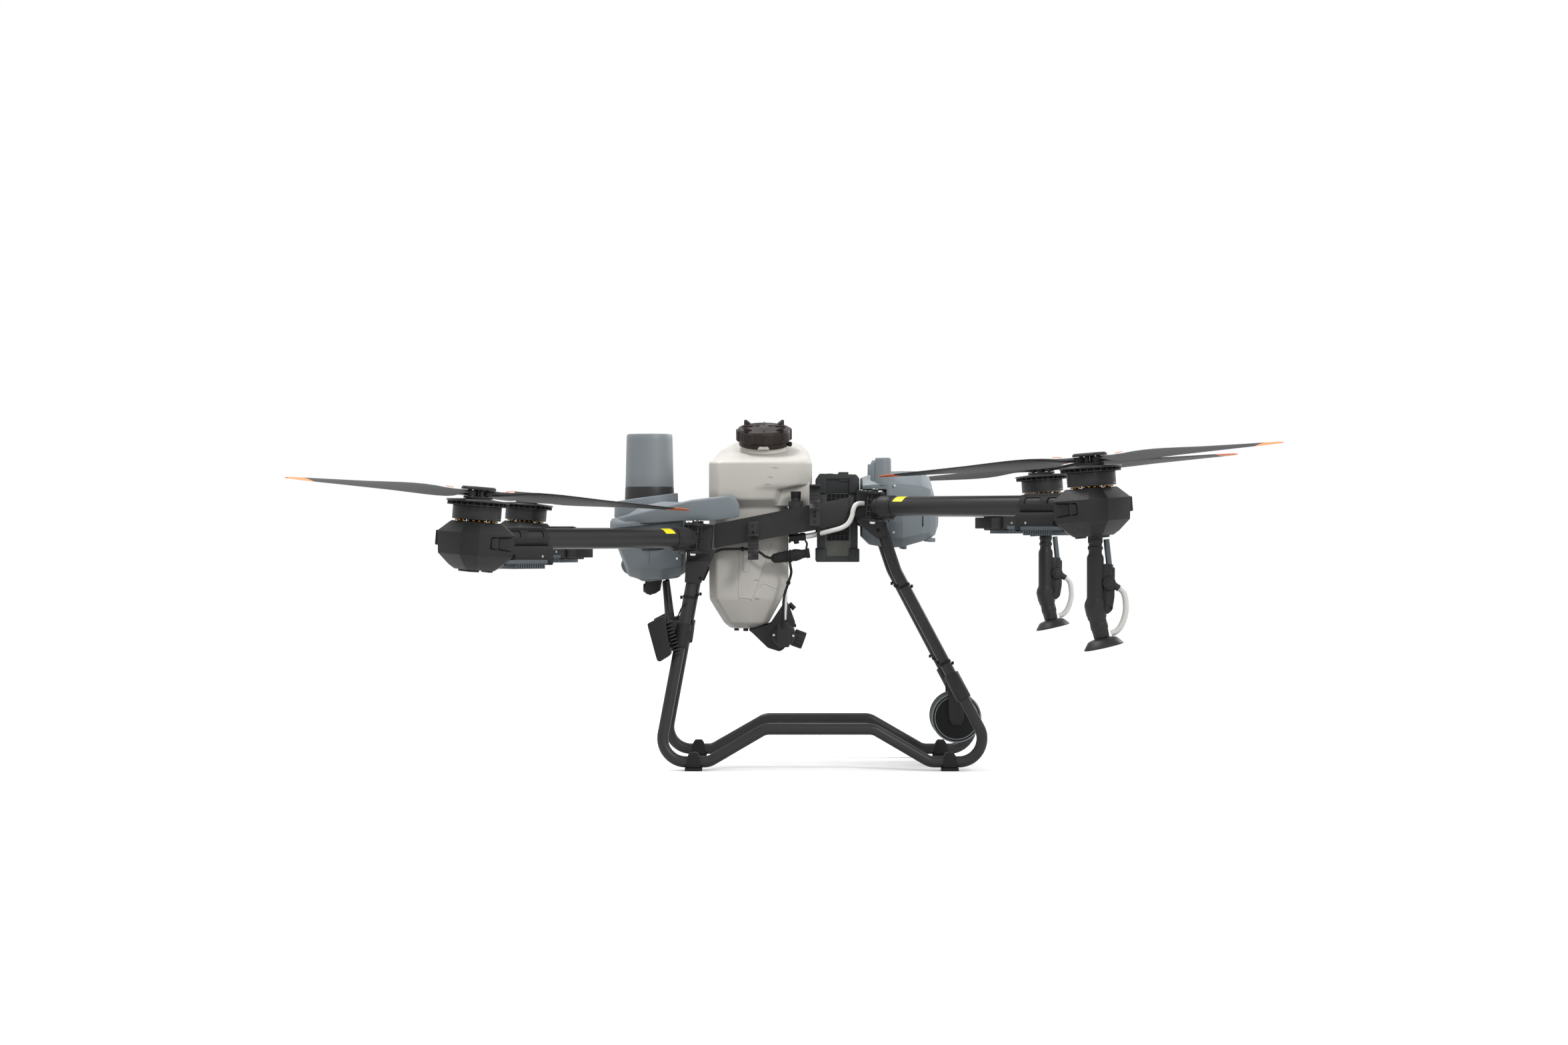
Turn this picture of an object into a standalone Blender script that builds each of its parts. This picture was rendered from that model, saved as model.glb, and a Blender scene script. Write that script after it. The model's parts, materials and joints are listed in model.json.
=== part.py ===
"""Agricultural spray drone: four folding arms, eight folding blades, a lift-out tank and battery.

Frame: metres, +Z up, nose towards -X, port side towards -Y, ground at Z = 0.
"""

import bpy
import bmesh
from math import asin, atan2, cos, degrees, hypot, pi, radians, sin, tan
from mathutils import Matrix, Vector

# Driving dimensions
MOTOR_X, MOTOR_Y = 0.7025, 0.6575          # motor centres
HINGE_X, HINGE_Y = 0.217, 0.200            # arm fold hinges
ARM_Z = {-1: 0.562, 1: 0.639}              # arm axis height, front (-1) and rear (+1)
HINGE_LEAN = radians(5.0)                  # hinge axes lean towards the tail
MOTOR_TILT = {-1: radians(4.5), 1: radians(-4.0)}
PROPELLER_RADIUS = 0.635
BLADE_PIVOT = 0.027                        # blade pivots, from the motor axis
TUBE_RADIUS = 0.024                        # arm tubes
LEG_RADIUS = 0.01375                       # landing gear tube
RAIL_INNER, RAIL_OUTER, RAIL_END = 0.1275, 0.1625, 0.170
SKID_Y, SKID_Z, SKID_LEAN = 0.215, 0.0211, 0.115
CAP_TILT = radians(14.0)                   # the tank's filler leans to port
NOZZLE_TILT = radians(13.0)
TOUCH = 0.0003                             # gap between touching pieces
TAIL_REACH = 0.0581                        # the airframe's middle stands this far ahead of the overall middle

ARM_LENGTH = hypot(MOTOR_X - HINGE_X, MOTOR_Y - HINGE_Y)
ARM_YAW = atan2(MOTOR_Y - HINGE_Y, MOTOR_X - HINGE_X)
CORNERS = {
    "front_port": (-1, -1),
    "front_starboard": (-1, 1),
    "rear_port": (1, -1),
    "rear_starboard": (1, 1),
}
SIDES = {"port": -1, "starboard": 1}
# hub line and blade deflections, as angles from each arm's outward direction
BLADE_LINES = {
    "front_port": (7.6, 7.1),
    "front_starboard": (-7.6, -7.1),
    "rear_port": (-7.6, -7.1),
    "rear_starboard": (-85.7, 1.1),
}
FINISHES = {
    "dark_metal": ((0.045, 0.046, 0.048), 0.42, 0.55),
    "black_plastic": ((0.020, 0.020, 0.021), 0.62, 0.0),
    "grey_shell": ((0.235, 0.270, 0.295), 0.50, 0.0),
    "tank_plastic": ((0.560, 0.545, 0.515), 0.45, 0.0),
    "blade_composite": ((0.040, 0.041, 0.043), 0.48, 0.0),
    "hose_white": ((0.620, 0.620, 0.610), 0.35, 0.0),
    "rubber": ((0.015, 0.015, 0.015), 0.85, 0.0),
}


# ---------------------------------------------------------------- shape tools
def solid(vertices, faces):
    """A mesh object with its faces pointing out."""
    mesh = bpy.data.meshes.new("solid")
    mesh.from_pydata([tuple(v) for v in vertices], [], faces)
    bm = bmesh.new()
    bm.from_mesh(mesh)
    bmesh.ops.recalc_face_normals(bm, faces=bm.faces)
    bm.to_mesh(mesh)
    bm.free()
    obj = bpy.data.objects.new("solid", mesh)
    bpy.context.scene.collection.objects.link(obj)
    return obj


def loft(rings):
    """Skin a list of rings, which have the same number of points, and close both ends."""
    count = len(rings[0])
    vertices = [point for ring in rings for point in ring]
    faces = [tuple(range(count)), tuple(range(len(vertices) - count, len(vertices)))]
    for level in range(len(rings) - 1):
        start = level * count
        for i in range(count):
            j = (i + 1) % count
            faces.append((start + i, start + j, start + count + j, start + count + i))
    return solid(vertices, faces)


def box(low, high):
    (x0, y0, z0), (x1, y1, z1) = low, high
    base = [(x0, y0), (x1, y0), (x1, y1), (x0, y1)]
    return loft([[(x, y, z) for x, y in base] for z in (z0, z1)])


def side_prism(outline, y0, y1):
    """An X-Z outline pushed through from y0 to y1."""
    return loft([[(x, y, z) for x, z in outline] for y in (y0, y1)])


def flat_prism(outline, z0, z1):
    return loft([[(x, y, z) for x, y in outline] for z in (z0, z1)])


def cross_prism(outline, x0, x1):
    """A Y-Z outline pushed through from x0 to x1."""
    return loft([[(x, y, z) for y, z in outline] for x in (x0, x1)])


def turned(profile, sides=24):
    """A solid of revolution about Z from (radius, height) steps."""
    turn = [2 * pi * i / sides for i in range(sides)]
    return loft([[(r * cos(t), r * sin(t), z) for t in turn] for r, z in profile])


def rod(start, end, radius, sides=16, end_radius=None):
    """A round bar, or a cone, between two points."""
    start, end = Vector(start), Vector(end)
    shape = turned([(radius, 0.0), (end_radius or radius, (end - start).length)], sides)
    turn = Vector((0, 0, 1)).rotation_difference(end - start).to_matrix().to_4x4()
    shape.data.transform(Matrix.Translation(start) @ turn)
    return shape


def moved(shape, matrix):
    shape.data.transform(matrix)
    if matrix.determinant() < 0:
        shape.data.flip_normals()
    return shape


def combine(base, joined=(), cut=()):
    """Join shapes to the base, cut others from it, and keep the result as its mesh."""
    for operation, tools in (("UNION", joined), ("DIFFERENCE", cut)):
        for tool in tools:
            boolean = base.modifiers.new(operation.lower(), "BOOLEAN")
            boolean.operation = operation
            boolean.solver = "EXACT"
            boolean.object = tool
    bpy.context.view_layer.update()
    evaluated = base.evaluated_get(bpy.context.evaluated_depsgraph_get())
    mesh = bpy.data.meshes.new_from_object(evaluated)
    base.modifiers.clear()
    base.data = mesh
    for tool in (*joined, *cut):
        bpy.data.objects.remove(tool)
    return base


def arc(centre, radius, start, end, steps):
    """Points on a circular arc, angles in degrees."""
    angles = [radians(start + (end - start) * i / steps) for i in range(steps + 1)]
    return [(centre[0] + radius * cos(a), centre[1] + radius * sin(a)) for a in angles]


def node(name, shape, finish, parent=None, location=(0, 0, 0), rotation=None):
    """Name a finished shape, give it its own material and put it in place."""
    colour, roughness, metallic = FINISHES[finish]
    material = bpy.data.materials.new(name)
    material.use_nodes = True
    shader = material.node_tree.nodes["Principled BSDF"]
    shader.inputs["Base Color"].default_value = (*colour, 1.0)
    shader.inputs["Roughness"].default_value = roughness
    shader.inputs["Metallic"].default_value = metallic
    shape.name = name
    shape.data.name = name
    shape.data.materials.clear()
    shape.data.materials.append(material)
    shape.data.shade_smooth()
    shape.data.set_sharp_from_angle(angle=radians(35))
    shape.location = location
    if rotation is not None:
        shape.rotation_euler = rotation.to_euler()
    shape.parent = parent
    return shape


def pivot(name, location, parent=None):
    empty = bpy.data.objects.new(name, None)
    bpy.context.scene.collection.objects.link(empty)
    empty.location = location
    empty.parent = parent
    return empty


# ---------------------------------------------------------------- arms
def arm_yaw(corner):
    front, side = CORNERS[corner]
    return atan2(side * sin(ARM_YAW), front * cos(ARM_YAW))


def hinge_point(corner):
    front, side = CORNERS[corner]
    return Vector((front * HINGE_X, side * HINGE_Y, ARM_Z[front]))


def hinge_block(corner):
    """The knuckle that turns on the hinge pin, with the collar that grips the arm tube."""
    drum_radius, drum_half, pin_hole = 0.0185, 0.0285, 0.0067
    collar_radius, collar_start, collar_end = 0.0262, 0.012, 0.068
    lean = Matrix.Rotation(HINGE_LEAN, 4, "Y")
    drum = moved(turned([(drum_radius, -drum_half), (drum_radius, drum_half)]), lean)
    bore = moved(turned([(pin_hole, -0.05), (pin_hole, 0.05)], 16), lean)
    steps = [
        (collar_radius - 0.003, collar_start),
        (collar_radius, collar_start + 0.004),
        (collar_radius, collar_end - 0.002),
        (collar_radius - 0.002, collar_end),
    ]
    along_x = Matrix.Rotation(pi / 2, 4, "Y")
    collar = moved(turned(steps), Matrix.Rotation(arm_yaw(corner), 4, "Z") @ along_x)
    return combine(drum, joined=[collar], cut=[bore])


def arm_tube(corner):
    start, end = 0.068 + TOUCH, ARM_LENGTH - 0.030
    tube = rod((start, 0, 0), (end, 0, 0), TUBE_RADIUS, 24)
    return moved(tube, Matrix.Rotation(arm_yaw(corner), 4, "Z"))


def arm_latch(corner):
    """The hook lever under the collar that locks the arm open."""
    outline = [(-0.030, 0.0032), (0.0020, 0.0032), (0.0037, 0.0), (0.0020, -0.0032),
               (-0.022, -0.0036), (-0.026, -0.0075), (-0.030, -0.0075)]
    lever = side_prism(outline, -0.0065, 0.0065)
    return moved(lever, Matrix.Rotation(arm_yaw(corner), 4, "Z"))


LATCH_PIVOT = (0.064, -0.0305)             # along the arm and below its axis


def eight_sided(reach_out, reach_in, half_width, z):
    """A chamfered rectangle, longer on the inboard side."""
    c = 0.42 * half_width
    return [
        (reach_out, -half_width + c, z), (reach_out, half_width - c, z),
        (reach_out - c, half_width, z), (-reach_in + c, half_width, z),
        (-reach_in, half_width - c, z), (-reach_in, -half_width + c, z),
        (-reach_in + c, -half_width, z), (reach_out - c, -half_width, z),
    ]


def motor_pod(corner):
    """The faceted motor mount, the clamp sleeve on the tube and the speed controller under it."""
    front, side = CORNERS[corner]
    levels = [
        (-0.070, 0.036, 0.046, 0.040), (-0.060, 0.048, 0.058, 0.050), (-0.036, 0.071, 0.080, 0.070),
        (0.014, 0.076, 0.084, 0.074), (0.0395, 0.050, 0.055, 0.050),
    ]
    helmet = loft([eight_sided(out, back, wide, z) for z, out, back, wide in levels])
    seat = turned([(0.030, 0.030), (0.030, 0.044 - TOUCH)], 16)
    helmet = combine(helmet, joined=[seat])
    yaw = Matrix.Rotation(arm_yaw(corner), 4, "Z")
    tilt = Matrix.Rotation(MOTOR_TILT[front], 4, "Y")
    motor = Matrix.Translation((ARM_LENGTH, 0, 0))
    to_motor = yaw @ motor
    shift = Matrix.Translation(to_motor.to_translation())
    moved(helmet, shift @ tilt @ yaw)
    sleeve = moved(rod((-0.195, 0, 0), (-0.060, 0, 0), 0.0280, 20), to_motor)
    controller = moved(box((-0.200, -0.036, -0.060), (-0.058, 0.036, -0.016)), to_motor)
    fins = moved(box((-0.178, -0.030, -0.069), (-0.080, 0.030, -0.058)), to_motor)
    tube = moved(rod((-0.30, 0, 0), (-0.030 + TOUCH, 0, 0), TUBE_RADIUS + TOUCH, 24), to_motor)
    parts = [sleeve, controller, fins]
    if side > 0:                           # the starboard controllers carry an extra box inboard
        parts.append(moved(box((-0.240, -0.030, -0.055), (-0.198, 0.030, -0.0255)), to_motor))
    return combine(helmet, joined=parts, cut=[tube])


def oblong(half_length, half_width, steps=4):
    reach = half_length - half_width
    right = arc((reach, 0), half_width, -90, 90, steps)
    left = arc((-reach, 0), half_width, 90, 270, steps)
    return right + left


def rotor():
    """Motor bell, cooling flange, hub plates and the two blade pins, on the motor axis."""
    bell = turned([(0.0540, 0.044), (0.0556, 0.046), (0.0556, 0.0752), (0.0685, 0.0754),
                   (0.0715, 0.084), (0.0715, 0.088), (0.050, 0.0895), (0.026, 0.0925)], 32)
    lower = flat_prism(oblong(0.043, 0.0165), 0.0915, 0.0970)
    upper = flat_prism(oblong(0.043, 0.0165), 0.1120, 0.1200)
    post = turned([(0.009, 0.090), (0.009, 0.115)], 12)
    pins = [rod((x, 0, 0.094), (x, 0, 0.116), 0.0045, 16) for x in (-BLADE_PIVOT, BLADE_PIVOT)]
    return combine(bell, joined=[lower, upper, post, *pins])


# from the pivot outwards: distance, chord, thickness, pitch in degrees, sweep of the middle
BLADE_STATIONS = [
    (0.004, 0.021, 0.0115, 0, 0.0), (0.035, 0.026, 0.0110, 5, 0.0), (0.075, 0.046, 0.0090, 16, 0.002),
    (0.130, 0.069, 0.0076, 19, 0.003), (0.200, 0.077, 0.0062, 17, 0.002),
    (0.320, 0.067, 0.0050, 13, -0.001), (0.440, 0.054, 0.0040, 11, -0.004),
    (0.540, 0.042, 0.0032, 9, -0.006), (0.590, 0.030, 0.0026, 8, -0.009),
    (PROPELLER_RADIUS - BLADE_PIVOT, 0.012, 0.0020, 8, -0.014),
]
BLADE_SECTION = [(-0.5, 0.0), (-0.32, 0.46), (-0.05, 0.62), (0.28, 0.36),
                 (0.5, 0.04), (0.5, -0.04), (0.28, -0.20), (-0.05, -0.38), (-0.32, -0.36)]


def blade(hand):
    """One folding blade about its pivot; hand -1 leads on the -Y side and +1 on the +Y side."""
    rings = []
    for reach, chord, thick, pitch, sweep in BLADE_STATIONS:
        turn = radians(pitch)
        ring = []
        for across, up in BLADE_SECTION:
            y, z = across * chord, up * thick
            ring.append((reach, y * cos(turn) + z * sin(turn) + sweep, z * cos(turn) - y * sin(turn)))
        rings.append(ring)
    wing = loft(rings)
    eye = turned([(0.0128, -0.0065), (0.0128, 0.0065)], 20)
    hole = turned([(0.0051, -0.02), (0.0051, 0.02)], 16)
    shape = combine(wing, joined=[eye], cut=[hole])
    return moved(shape, Matrix.Diagonal((1, -hand, 1, 1)))


def build_arm(corner):
    front, side = CORNERS[corner]
    yaw = Matrix.Rotation(arm_yaw(corner), 4, "Z")
    root = pivot(f"{corner}_arm_pivot", hinge_point(corner))
    node(f"{corner}_hinge_block", hinge_block(corner), "dark_metal", root)
    node(f"{corner}_arm_tube", arm_tube(corner), "dark_metal", root)
    node(f"{corner}_motor_pod", motor_pod(corner), "black_plastic", root)
    along, below = LATCH_PIVOT
    node(f"{corner}_arm_latch", arm_latch(corner), "dark_metal", root, yaw @ Vector((along, 0, below)))
    hub_line, deflection = BLADE_LINES[corner]
    hub_yaw = arm_yaw(corner) + radians(hub_line)
    tilt = Matrix.Rotation(MOTOR_TILT[front], 4, "Y")
    spin = node(f"{corner}_rotor", rotor(), "dark_metal", root, yaw @ Vector((ARM_LENGTH, 0, 0)),
                tilt @ Matrix.Rotation(hub_yaw, 4, "Z"))
    hand = front * side                    # neighbouring propellers turn opposite ways
    for letter, outward, turn in (("a", 1, deflection), ("b", -1, -deflection)):
        heading = radians(turn + (0 if outward > 0 else 180))
        node(f"{corner}_blade_{letter}", blade(-hand), "blade_composite", spin,
             (outward * BLADE_PIVOT, 0, 0.1045), Matrix.Rotation(heading, 4, "Z"))
    return root


# ---------------------------------------------------------------- sprinklers, on the rear arms
NOZZLE_ELBOW = (0.7085, 0.398)


def nozzle_point(distance):
    x, z = NOZZLE_ELBOW
    return Vector((x + distance * sin(NOZZLE_TILT), 0, z - distance * cos(NOZZLE_TILT)))


def sprinkler_body():
    """The downpipe, the angled nozzle motor and the valve with its feed pipe."""
    upper = turned([(0.0205, 0.396), (0.0205, 0.415), (0.0197, 0.420), (0.0197, 0.528),
                    (0.0170, 0.534), (0.0170, 0.5665)], 20)
    moved(upper, Matrix.Translation((0.7075, 0, 0)))
    lower = rod(nozzle_point(-0.016), nozzle_point(0.020), 0.0228, 20)
    neck = rod(nozzle_point(0.010), nozzle_point(0.0620), 0.0190, 20, 0.0175)
    wing = box((0.720, -0.005, 0.388), (0.751, 0.005, 0.505))
    valve = rod((0.738, -0.012, 0.463), (0.738, 0.012, 0.463), 0.015, 12)
    outlet = rod((0.740, 0.0, 0.463), (0.7618, 0.0, 0.450), 0.0085, 12)
    feed = rod((0.732, 0, 0.5625), (0.7500, 0, 0.470), 0.0075, 12)
    return combine(upper, joined=[lower, neck, wing, valve, outlet, feed])


def sprinkler_disc():
    """The spinning atomiser disc, about its own tilted axis."""
    down = turned([(0.020, 0.0), (0.031, -0.003), (0.0456, -0.019), (0.0445, -0.0215),
                   (0.012, -0.0190), (0.006, -0.0245)], 28)
    return moved(down, Matrix.Rotation(-NOZZLE_TILT, 4, "Y"))


HOSE_LOOP = [(0.7636, 0.4487), (0.7678, 0.4458), (0.7725, 0.4390), (0.7762, 0.4230),
             (0.7770, 0.4020), (0.7725, 0.3800), (0.7640, 0.3620), (0.7540, 0.3520), (0.7440, 0.3480)]


def smooth_route(points, count):
    """Evenly spaced points on a smooth curve through the given ones."""
    points = [Vector(p) for p in points]
    fine = []
    for i in range(len(points) - 1):
        p1, p2 = points[i], points[i + 1]
        p0 = points[i - 1] if i else p1 * 2 - p2
        p3 = points[i + 2] if i + 2 < len(points) else p2 * 2 - p1
        for step in range(12):
            t = step / 12
            fine.append(0.5 * (2 * p1 + (p2 - p0) * t + (2 * p0 - 5 * p1 + 4 * p2 - p3) * t * t
                               + (3 * p1 - p0 - 3 * p2 + p3) * t ** 3))
    fine.append(points[-1])
    lengths = [0.0]
    for a, b in zip(fine, fine[1:]):
        lengths.append(lengths[-1] + (b - a).length)
    route, k = [], 0
    for i in range(count):
        goal = lengths[-1] * i / (count - 1)
        while k < len(lengths) - 2 and lengths[k + 1] < goal:
            k += 1
        span = lengths[k + 1] - lengths[k]
        route.append(fine[k].lerp(fine[k + 1], (goal - lengths[k]) / span))
    return route


def hose(route, radius, count, resolution=2):
    """A held hose or cable: a bevelled curve with filled ends."""
    curve = bpy.data.curves.new("hose", "CURVE")
    curve.dimensions = "3D"
    curve.bevel_depth = radius
    curve.bevel_resolution = resolution
    curve.use_fill_caps = True
    spline = curve.splines.new("POLY")
    points = smooth_route(route, count)
    spline.points.add(len(points) - 1)
    for target, point in zip(spline.points, points):
        target.co = (*point, 1.0)
    obj = bpy.data.objects.new("hose", curve)
    bpy.context.scene.collection.objects.link(obj)
    return obj


def as_mesh(curve_object):
    """The curve's evaluated surface as a mesh object."""
    bpy.context.view_layer.update()
    evaluated = curve_object.evaluated_get(bpy.context.evaluated_depsgraph_get())
    mesh = bpy.data.meshes.new_from_object(evaluated)
    bpy.data.objects.remove(curve_object)
    shape = bpy.data.objects.new("lead", mesh)
    bpy.context.scene.collection.objects.link(shape)
    return shape


def hose_node(name, shape, finish, parent=None, location=(0, 0, 0)):
    colour, roughness, metallic = FINISHES[finish]
    material = bpy.data.materials.new(name)
    material.use_nodes = True
    shader = material.node_tree.nodes["Principled BSDF"]
    shader.inputs["Base Color"].default_value = (*colour, 1.0)
    shader.inputs["Roughness"].default_value = roughness
    shader.inputs["Metallic"].default_value = metallic
    shape.name = name
    shape.data.materials.append(material)
    shape.location = location
    shape.parent = parent
    return shape


def build_sprinkler(side_name, arm):
    """Sprinkler meshes are made at Y = 0 in world X and Z, then set under the rear motor."""
    side = SIDES[side_name]
    offset = Vector((0, side * MOTOR_Y, 0)) - arm.location
    node(f"{side_name}_sprinkler_body", sprinkler_body(), "black_plastic", arm, offset)
    centre = nozzle_point(0.0625)
    node(f"{side_name}_sprinkler_disc", sprinkler_disc(), "black_plastic", arm, offset + centre)
    route = [(x, 0, z) for x, z in HOSE_LOOP]
    hose_node(f"{side_name}_sprinkler_hose", hose(route, 0.0068, 12), "hose_white", arm, offset)


# ---------------------------------------------------------------- airframe
def leg_point(front, z):
    """The landing gear leg's centre at a height, on the side towards +Y."""
    x = -0.2246 - (0.4524 - z) * 0.1868 if front < 0 else (
        0.273 - (z - 0.4816) * 0.3374 if z > 0.4816 else 0.273 + (0.4816 - z) * 0.5288)
    return Vector((x, SKID_Y - (z - SKID_Z) * SKID_LEAN, z))


def mirrored(point, side):
    return Vector((point[0], side * point[1], point[2]))


def leg_bar(front, side, low, high, radius, sides=16):
    return rod(mirrored(leg_point(front, low), side), mirrored(leg_point(front, high), side), radius, sides)


def yoke(front, side):
    """A slotted block that holds one hinge pin between its two plates."""
    half, inner = 0.036, 0.030
    reach, web_start, web_end, web_back = 0.0425, 0.034, 0.070, -0.028
    outline = arc((0, 0), 0.022, 160, 380, 8)
    outline += [(reach, web_start + 0.002), (reach, web_end), (web_back, web_end), (web_back, web_start)]
    block = flat_prism(outline, -half, half)
    slot = box((-0.060, -0.060, -inner), (0.060, web_start, inner))
    block = combine(block, cut=[slot])
    place = (Matrix.Translation((front * HINGE_X, side * HINGE_Y, ARM_Z[front]))
             @ Matrix.Rotation(HINGE_LEAN, 4, "Y") @ Matrix.Diagonal((-front, -side, 1, 1)))
    pin = rod((0, 0, -0.041), (0, 0, 0.040), 0.0060, 16)
    head = rod((0, 0, half - 0.001), (0, 0, half + 0.006), 0.0085, 12)
    return [moved(shape, place) for shape in (block, pin, head)]


def front_frame():
    """The front cross casting with its two arm yokes and leg sockets."""
    beam = box((-0.240, -0.136, 0.537), (-0.198, 0.136, 0.586))
    joined, holes = [], []
    for side in (-1, 1):
        joined += yoke(-1, side)
        upper = [(-0.2373, 0.5310), (-0.2390, 0.4950), (-0.1830, 0.4950), (-0.1660, 0.5290), (-0.1735, 0.5330)]
        lower = [(-0.2385, 0.5060), (-0.2411, 0.4547), (-0.2025, 0.4523), (-0.1780, 0.5060)]
        for outline, inside, outside in ((upper, 0.141, 0.167), (lower, 0.139, 0.183)):
            low, high = sorted((side * inside, side * outside))
            joined.append(side_prism(outline, low, high))
        holes.append(leg_bar(-1, side, 0.40, 0.4903, LEG_RADIUS + TOUCH))
    return combine(beam, joined=joined, cut=holes)


def rear_frame():
    beam = box((0.199, -0.136, 0.612), (0.240, 0.136, 0.662))
    joined, holes = [], []
    for side in (-1, 1):
        joined += yoke(1, side)
        outline = [(0.1780, 0.6065), (0.1790, 0.6000), (0.2276, 0.5602), (0.2531, 0.5696), (0.2480, 0.6065)]
        low, high = sorted((side * 0.132, side * 0.1715))
        joined.append(side_prism(outline, low, high))
        holes.append(leg_bar(1, side, 0.52, 0.5903, LEG_RADIUS + TOUCH))
    return combine(beam, joined=joined, cut=holes)


def rail_height(x, upper):
    low, high = (0.596, 0.664) if upper else (0.538, 0.598)
    return low + (high - low) * (x + RAIL_END) / (2 * RAIL_END)


def arm_clip(x, z, low, high, side):
    """A plate on the rail's outer face with the open cradle that a folded arm drops into."""
    cradle_y, inner, outer, half = 0.2074, 0.0275, 0.0315, 0.013
    ring = arc((cradle_y, z), outer, 100, 260, 8) + arc((cradle_y, z), inner, 260, 100, 8)
    cradle = cross_prism([(side * y, h) for y, h in ring], x - half, x + half)
    y0, y1 = sorted((side * 0.1605, side * 0.1785))
    return [cradle, box((x - half, y0, low), (x + half, y1, high))]


def rail(side):
    """A side beam with both arm clips, the tank latch and the hose connector."""
    outline = [(-RAIL_END, rail_height(-RAIL_END, False)), (RAIL_END, rail_height(RAIL_END, False)),
               (RAIL_END, rail_height(RAIL_END, True)), (-RAIL_END, rail_height(-RAIL_END, True))]
    y0, y1 = sorted((side * RAIL_INNER, side * RAIL_OUTER))
    beam = side_prism(outline, y0, y1)
    parts = arm_clip(-0.075, 0.5405, 0.521, 0.602, side)
    parts += arm_clip(0.075, 0.6615, 0.592, 0.690, side)
    middle = side * (RAIL_INNER + RAIL_OUTER) / 2
    parts.append(box((0.011, middle - 0.012, 0.620), (0.047, middle + 0.012, 0.652)))
    parts.append(rod((0.029, middle, 0.645), (0.029, middle, 0.676), 0.0115, 12))
    parts.append(rod((0.012, middle, 0.5610), (0.0520, middle, 0.5655), 0.0080, 12))
    parts.append(box((0.022, middle - 0.004, 0.562), (0.034, middle + 0.004, 0.580)))
    return combine(beam, joined=parts)


def section(x, levels):
    """A symmetric cross-section at x from (height, half width) steps, bottom to top."""
    right = [(x, w, z) for z, w in levels]
    left = [(x, -w, z) for z, w in reversed(levels)]
    return right + left


def front_shell():
    """The nose cover with its radar boss, the two fairings along the rails and camera cheeks."""
    stations = [
        (-0.430, [(0.576, 0.040), (0.582, 0.054), (0.600, 0.054), (0.607, 0.044)]),
        (-0.412, [(0.538, 0.055), (0.556, 0.078), (0.598, 0.078), (0.612, 0.062)]),
        (-0.384, [(0.466, 0.062), (0.492, 0.096), (0.598, 0.098), (0.620, 0.074)]),
        (-0.353, [(0.457, 0.075), (0.485, 0.110), (0.606, 0.112), (0.640, 0.085)]),
        (-0.300, [(0.459, 0.085), (0.484, 0.118), (0.612, 0.120), (0.652, 0.095)]),
        (-0.2475, [(0.470, 0.088), (0.494, 0.122), (0.615, 0.124), (0.650, 0.100)]),
    ]
    hull = loft([section(x, levels) for x, levels in stations])
    boss = turned([(0.069, 0.600), (0.066, 0.640), (0.064, 0.660)], 28)
    moved(boss, Matrix.Translation((-0.3345, 0, 0)))
    bridge = box((-0.290, -0.1695, 0.606), (-0.2480, 0.1695, 0.640))
    parts = [boss, bridge]
    for side in (-1, 1):
        wing = [(-0.262, 0.6025), (-0.262, 0.648), (-0.2256, 0.656), (-0.1331, 0.667), (-0.1130, 0.658),
                (-0.1090, 0.6145), (-0.1700, 0.6025)]
        y0, y1 = sorted((side * 0.1575, side * 0.1700))
        parts.append(side_prism(wing, y0, y1))
        y0, y1 = sorted((side * 0.0290, side * 0.0350))
        parts.append(box((-0.341, y0, 0.426), (-0.309, y1, 0.475)))
    return combine(hull, joined=parts)


def front_radar():
    dome = turned([(0.0615, 0.660 + TOUCH), (0.0615, 0.686), (0.0598, 0.688), (0.0570, 0.812),
                   (0.0555, 0.818), (0.0520, 0.820)], 32)
    return moved(dome, Matrix.Translation((-0.3345, 0, 0)))


def rear_shell():
    """The avionics cover behind the battery, cut to sit over the rear cross casting."""
    stations = [
        (0.1920, [(0.566, 0.110), (0.580, 0.128), (0.600, 0.128), (0.665, 0.150), (0.690, 0.152), (0.711, 0.110)]),
        (0.2130, [(0.545, 0.105), (0.565, 0.128), (0.600, 0.128), (0.665, 0.164), (0.692, 0.166), (0.717, 0.115)]),
        (0.2560, [(0.538, 0.105), (0.560, 0.129), (0.600, 0.130), (0.665, 0.166), (0.696, 0.167), (0.725, 0.118)]),
        (0.2900, [(0.540, 0.105), (0.562, 0.136), (0.600, 0.142), (0.660, 0.150), (0.694, 0.148), (0.726, 0.112)]),
        (0.3360, [(0.553, 0.100), (0.572, 0.128), (0.600, 0.132), (0.655, 0.134), (0.690, 0.128), (0.726, 0.095)]),
        (0.3580, [(0.560, 0.092), (0.576, 0.114), (0.602, 0.118), (0.650, 0.118), (0.682, 0.110), (0.711, 0.080)]),
        (0.3720, [(0.570, 0.078), (0.582, 0.098), (0.604, 0.102), (0.634, 0.100), (0.650, 0.094), (0.660, 0.075)]),
        (0.3817, [(0.594, 0.060), (0.598, 0.074), (0.605, 0.078), (0.612, 0.078), (0.616, 0.072), (0.618, 0.060)]),
    ]
    hull = loft([section(x, levels) for x, levels in stations])
    posts = []
    for side in (-1, 1):
        posts.append(moved(turned([(0.0205, 0.680), (0.0198, 0.700), (0.0190, 0.755), (0.0175, 0.758)], 16),
                           Matrix.Translation((0.2414, side * 0.1475, 0))))
    slot = box((0.180, -0.20, 0.5985), (0.2495, 0.20, 0.6810))
    return combine(hull, joined=posts, cut=[slot])


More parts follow.
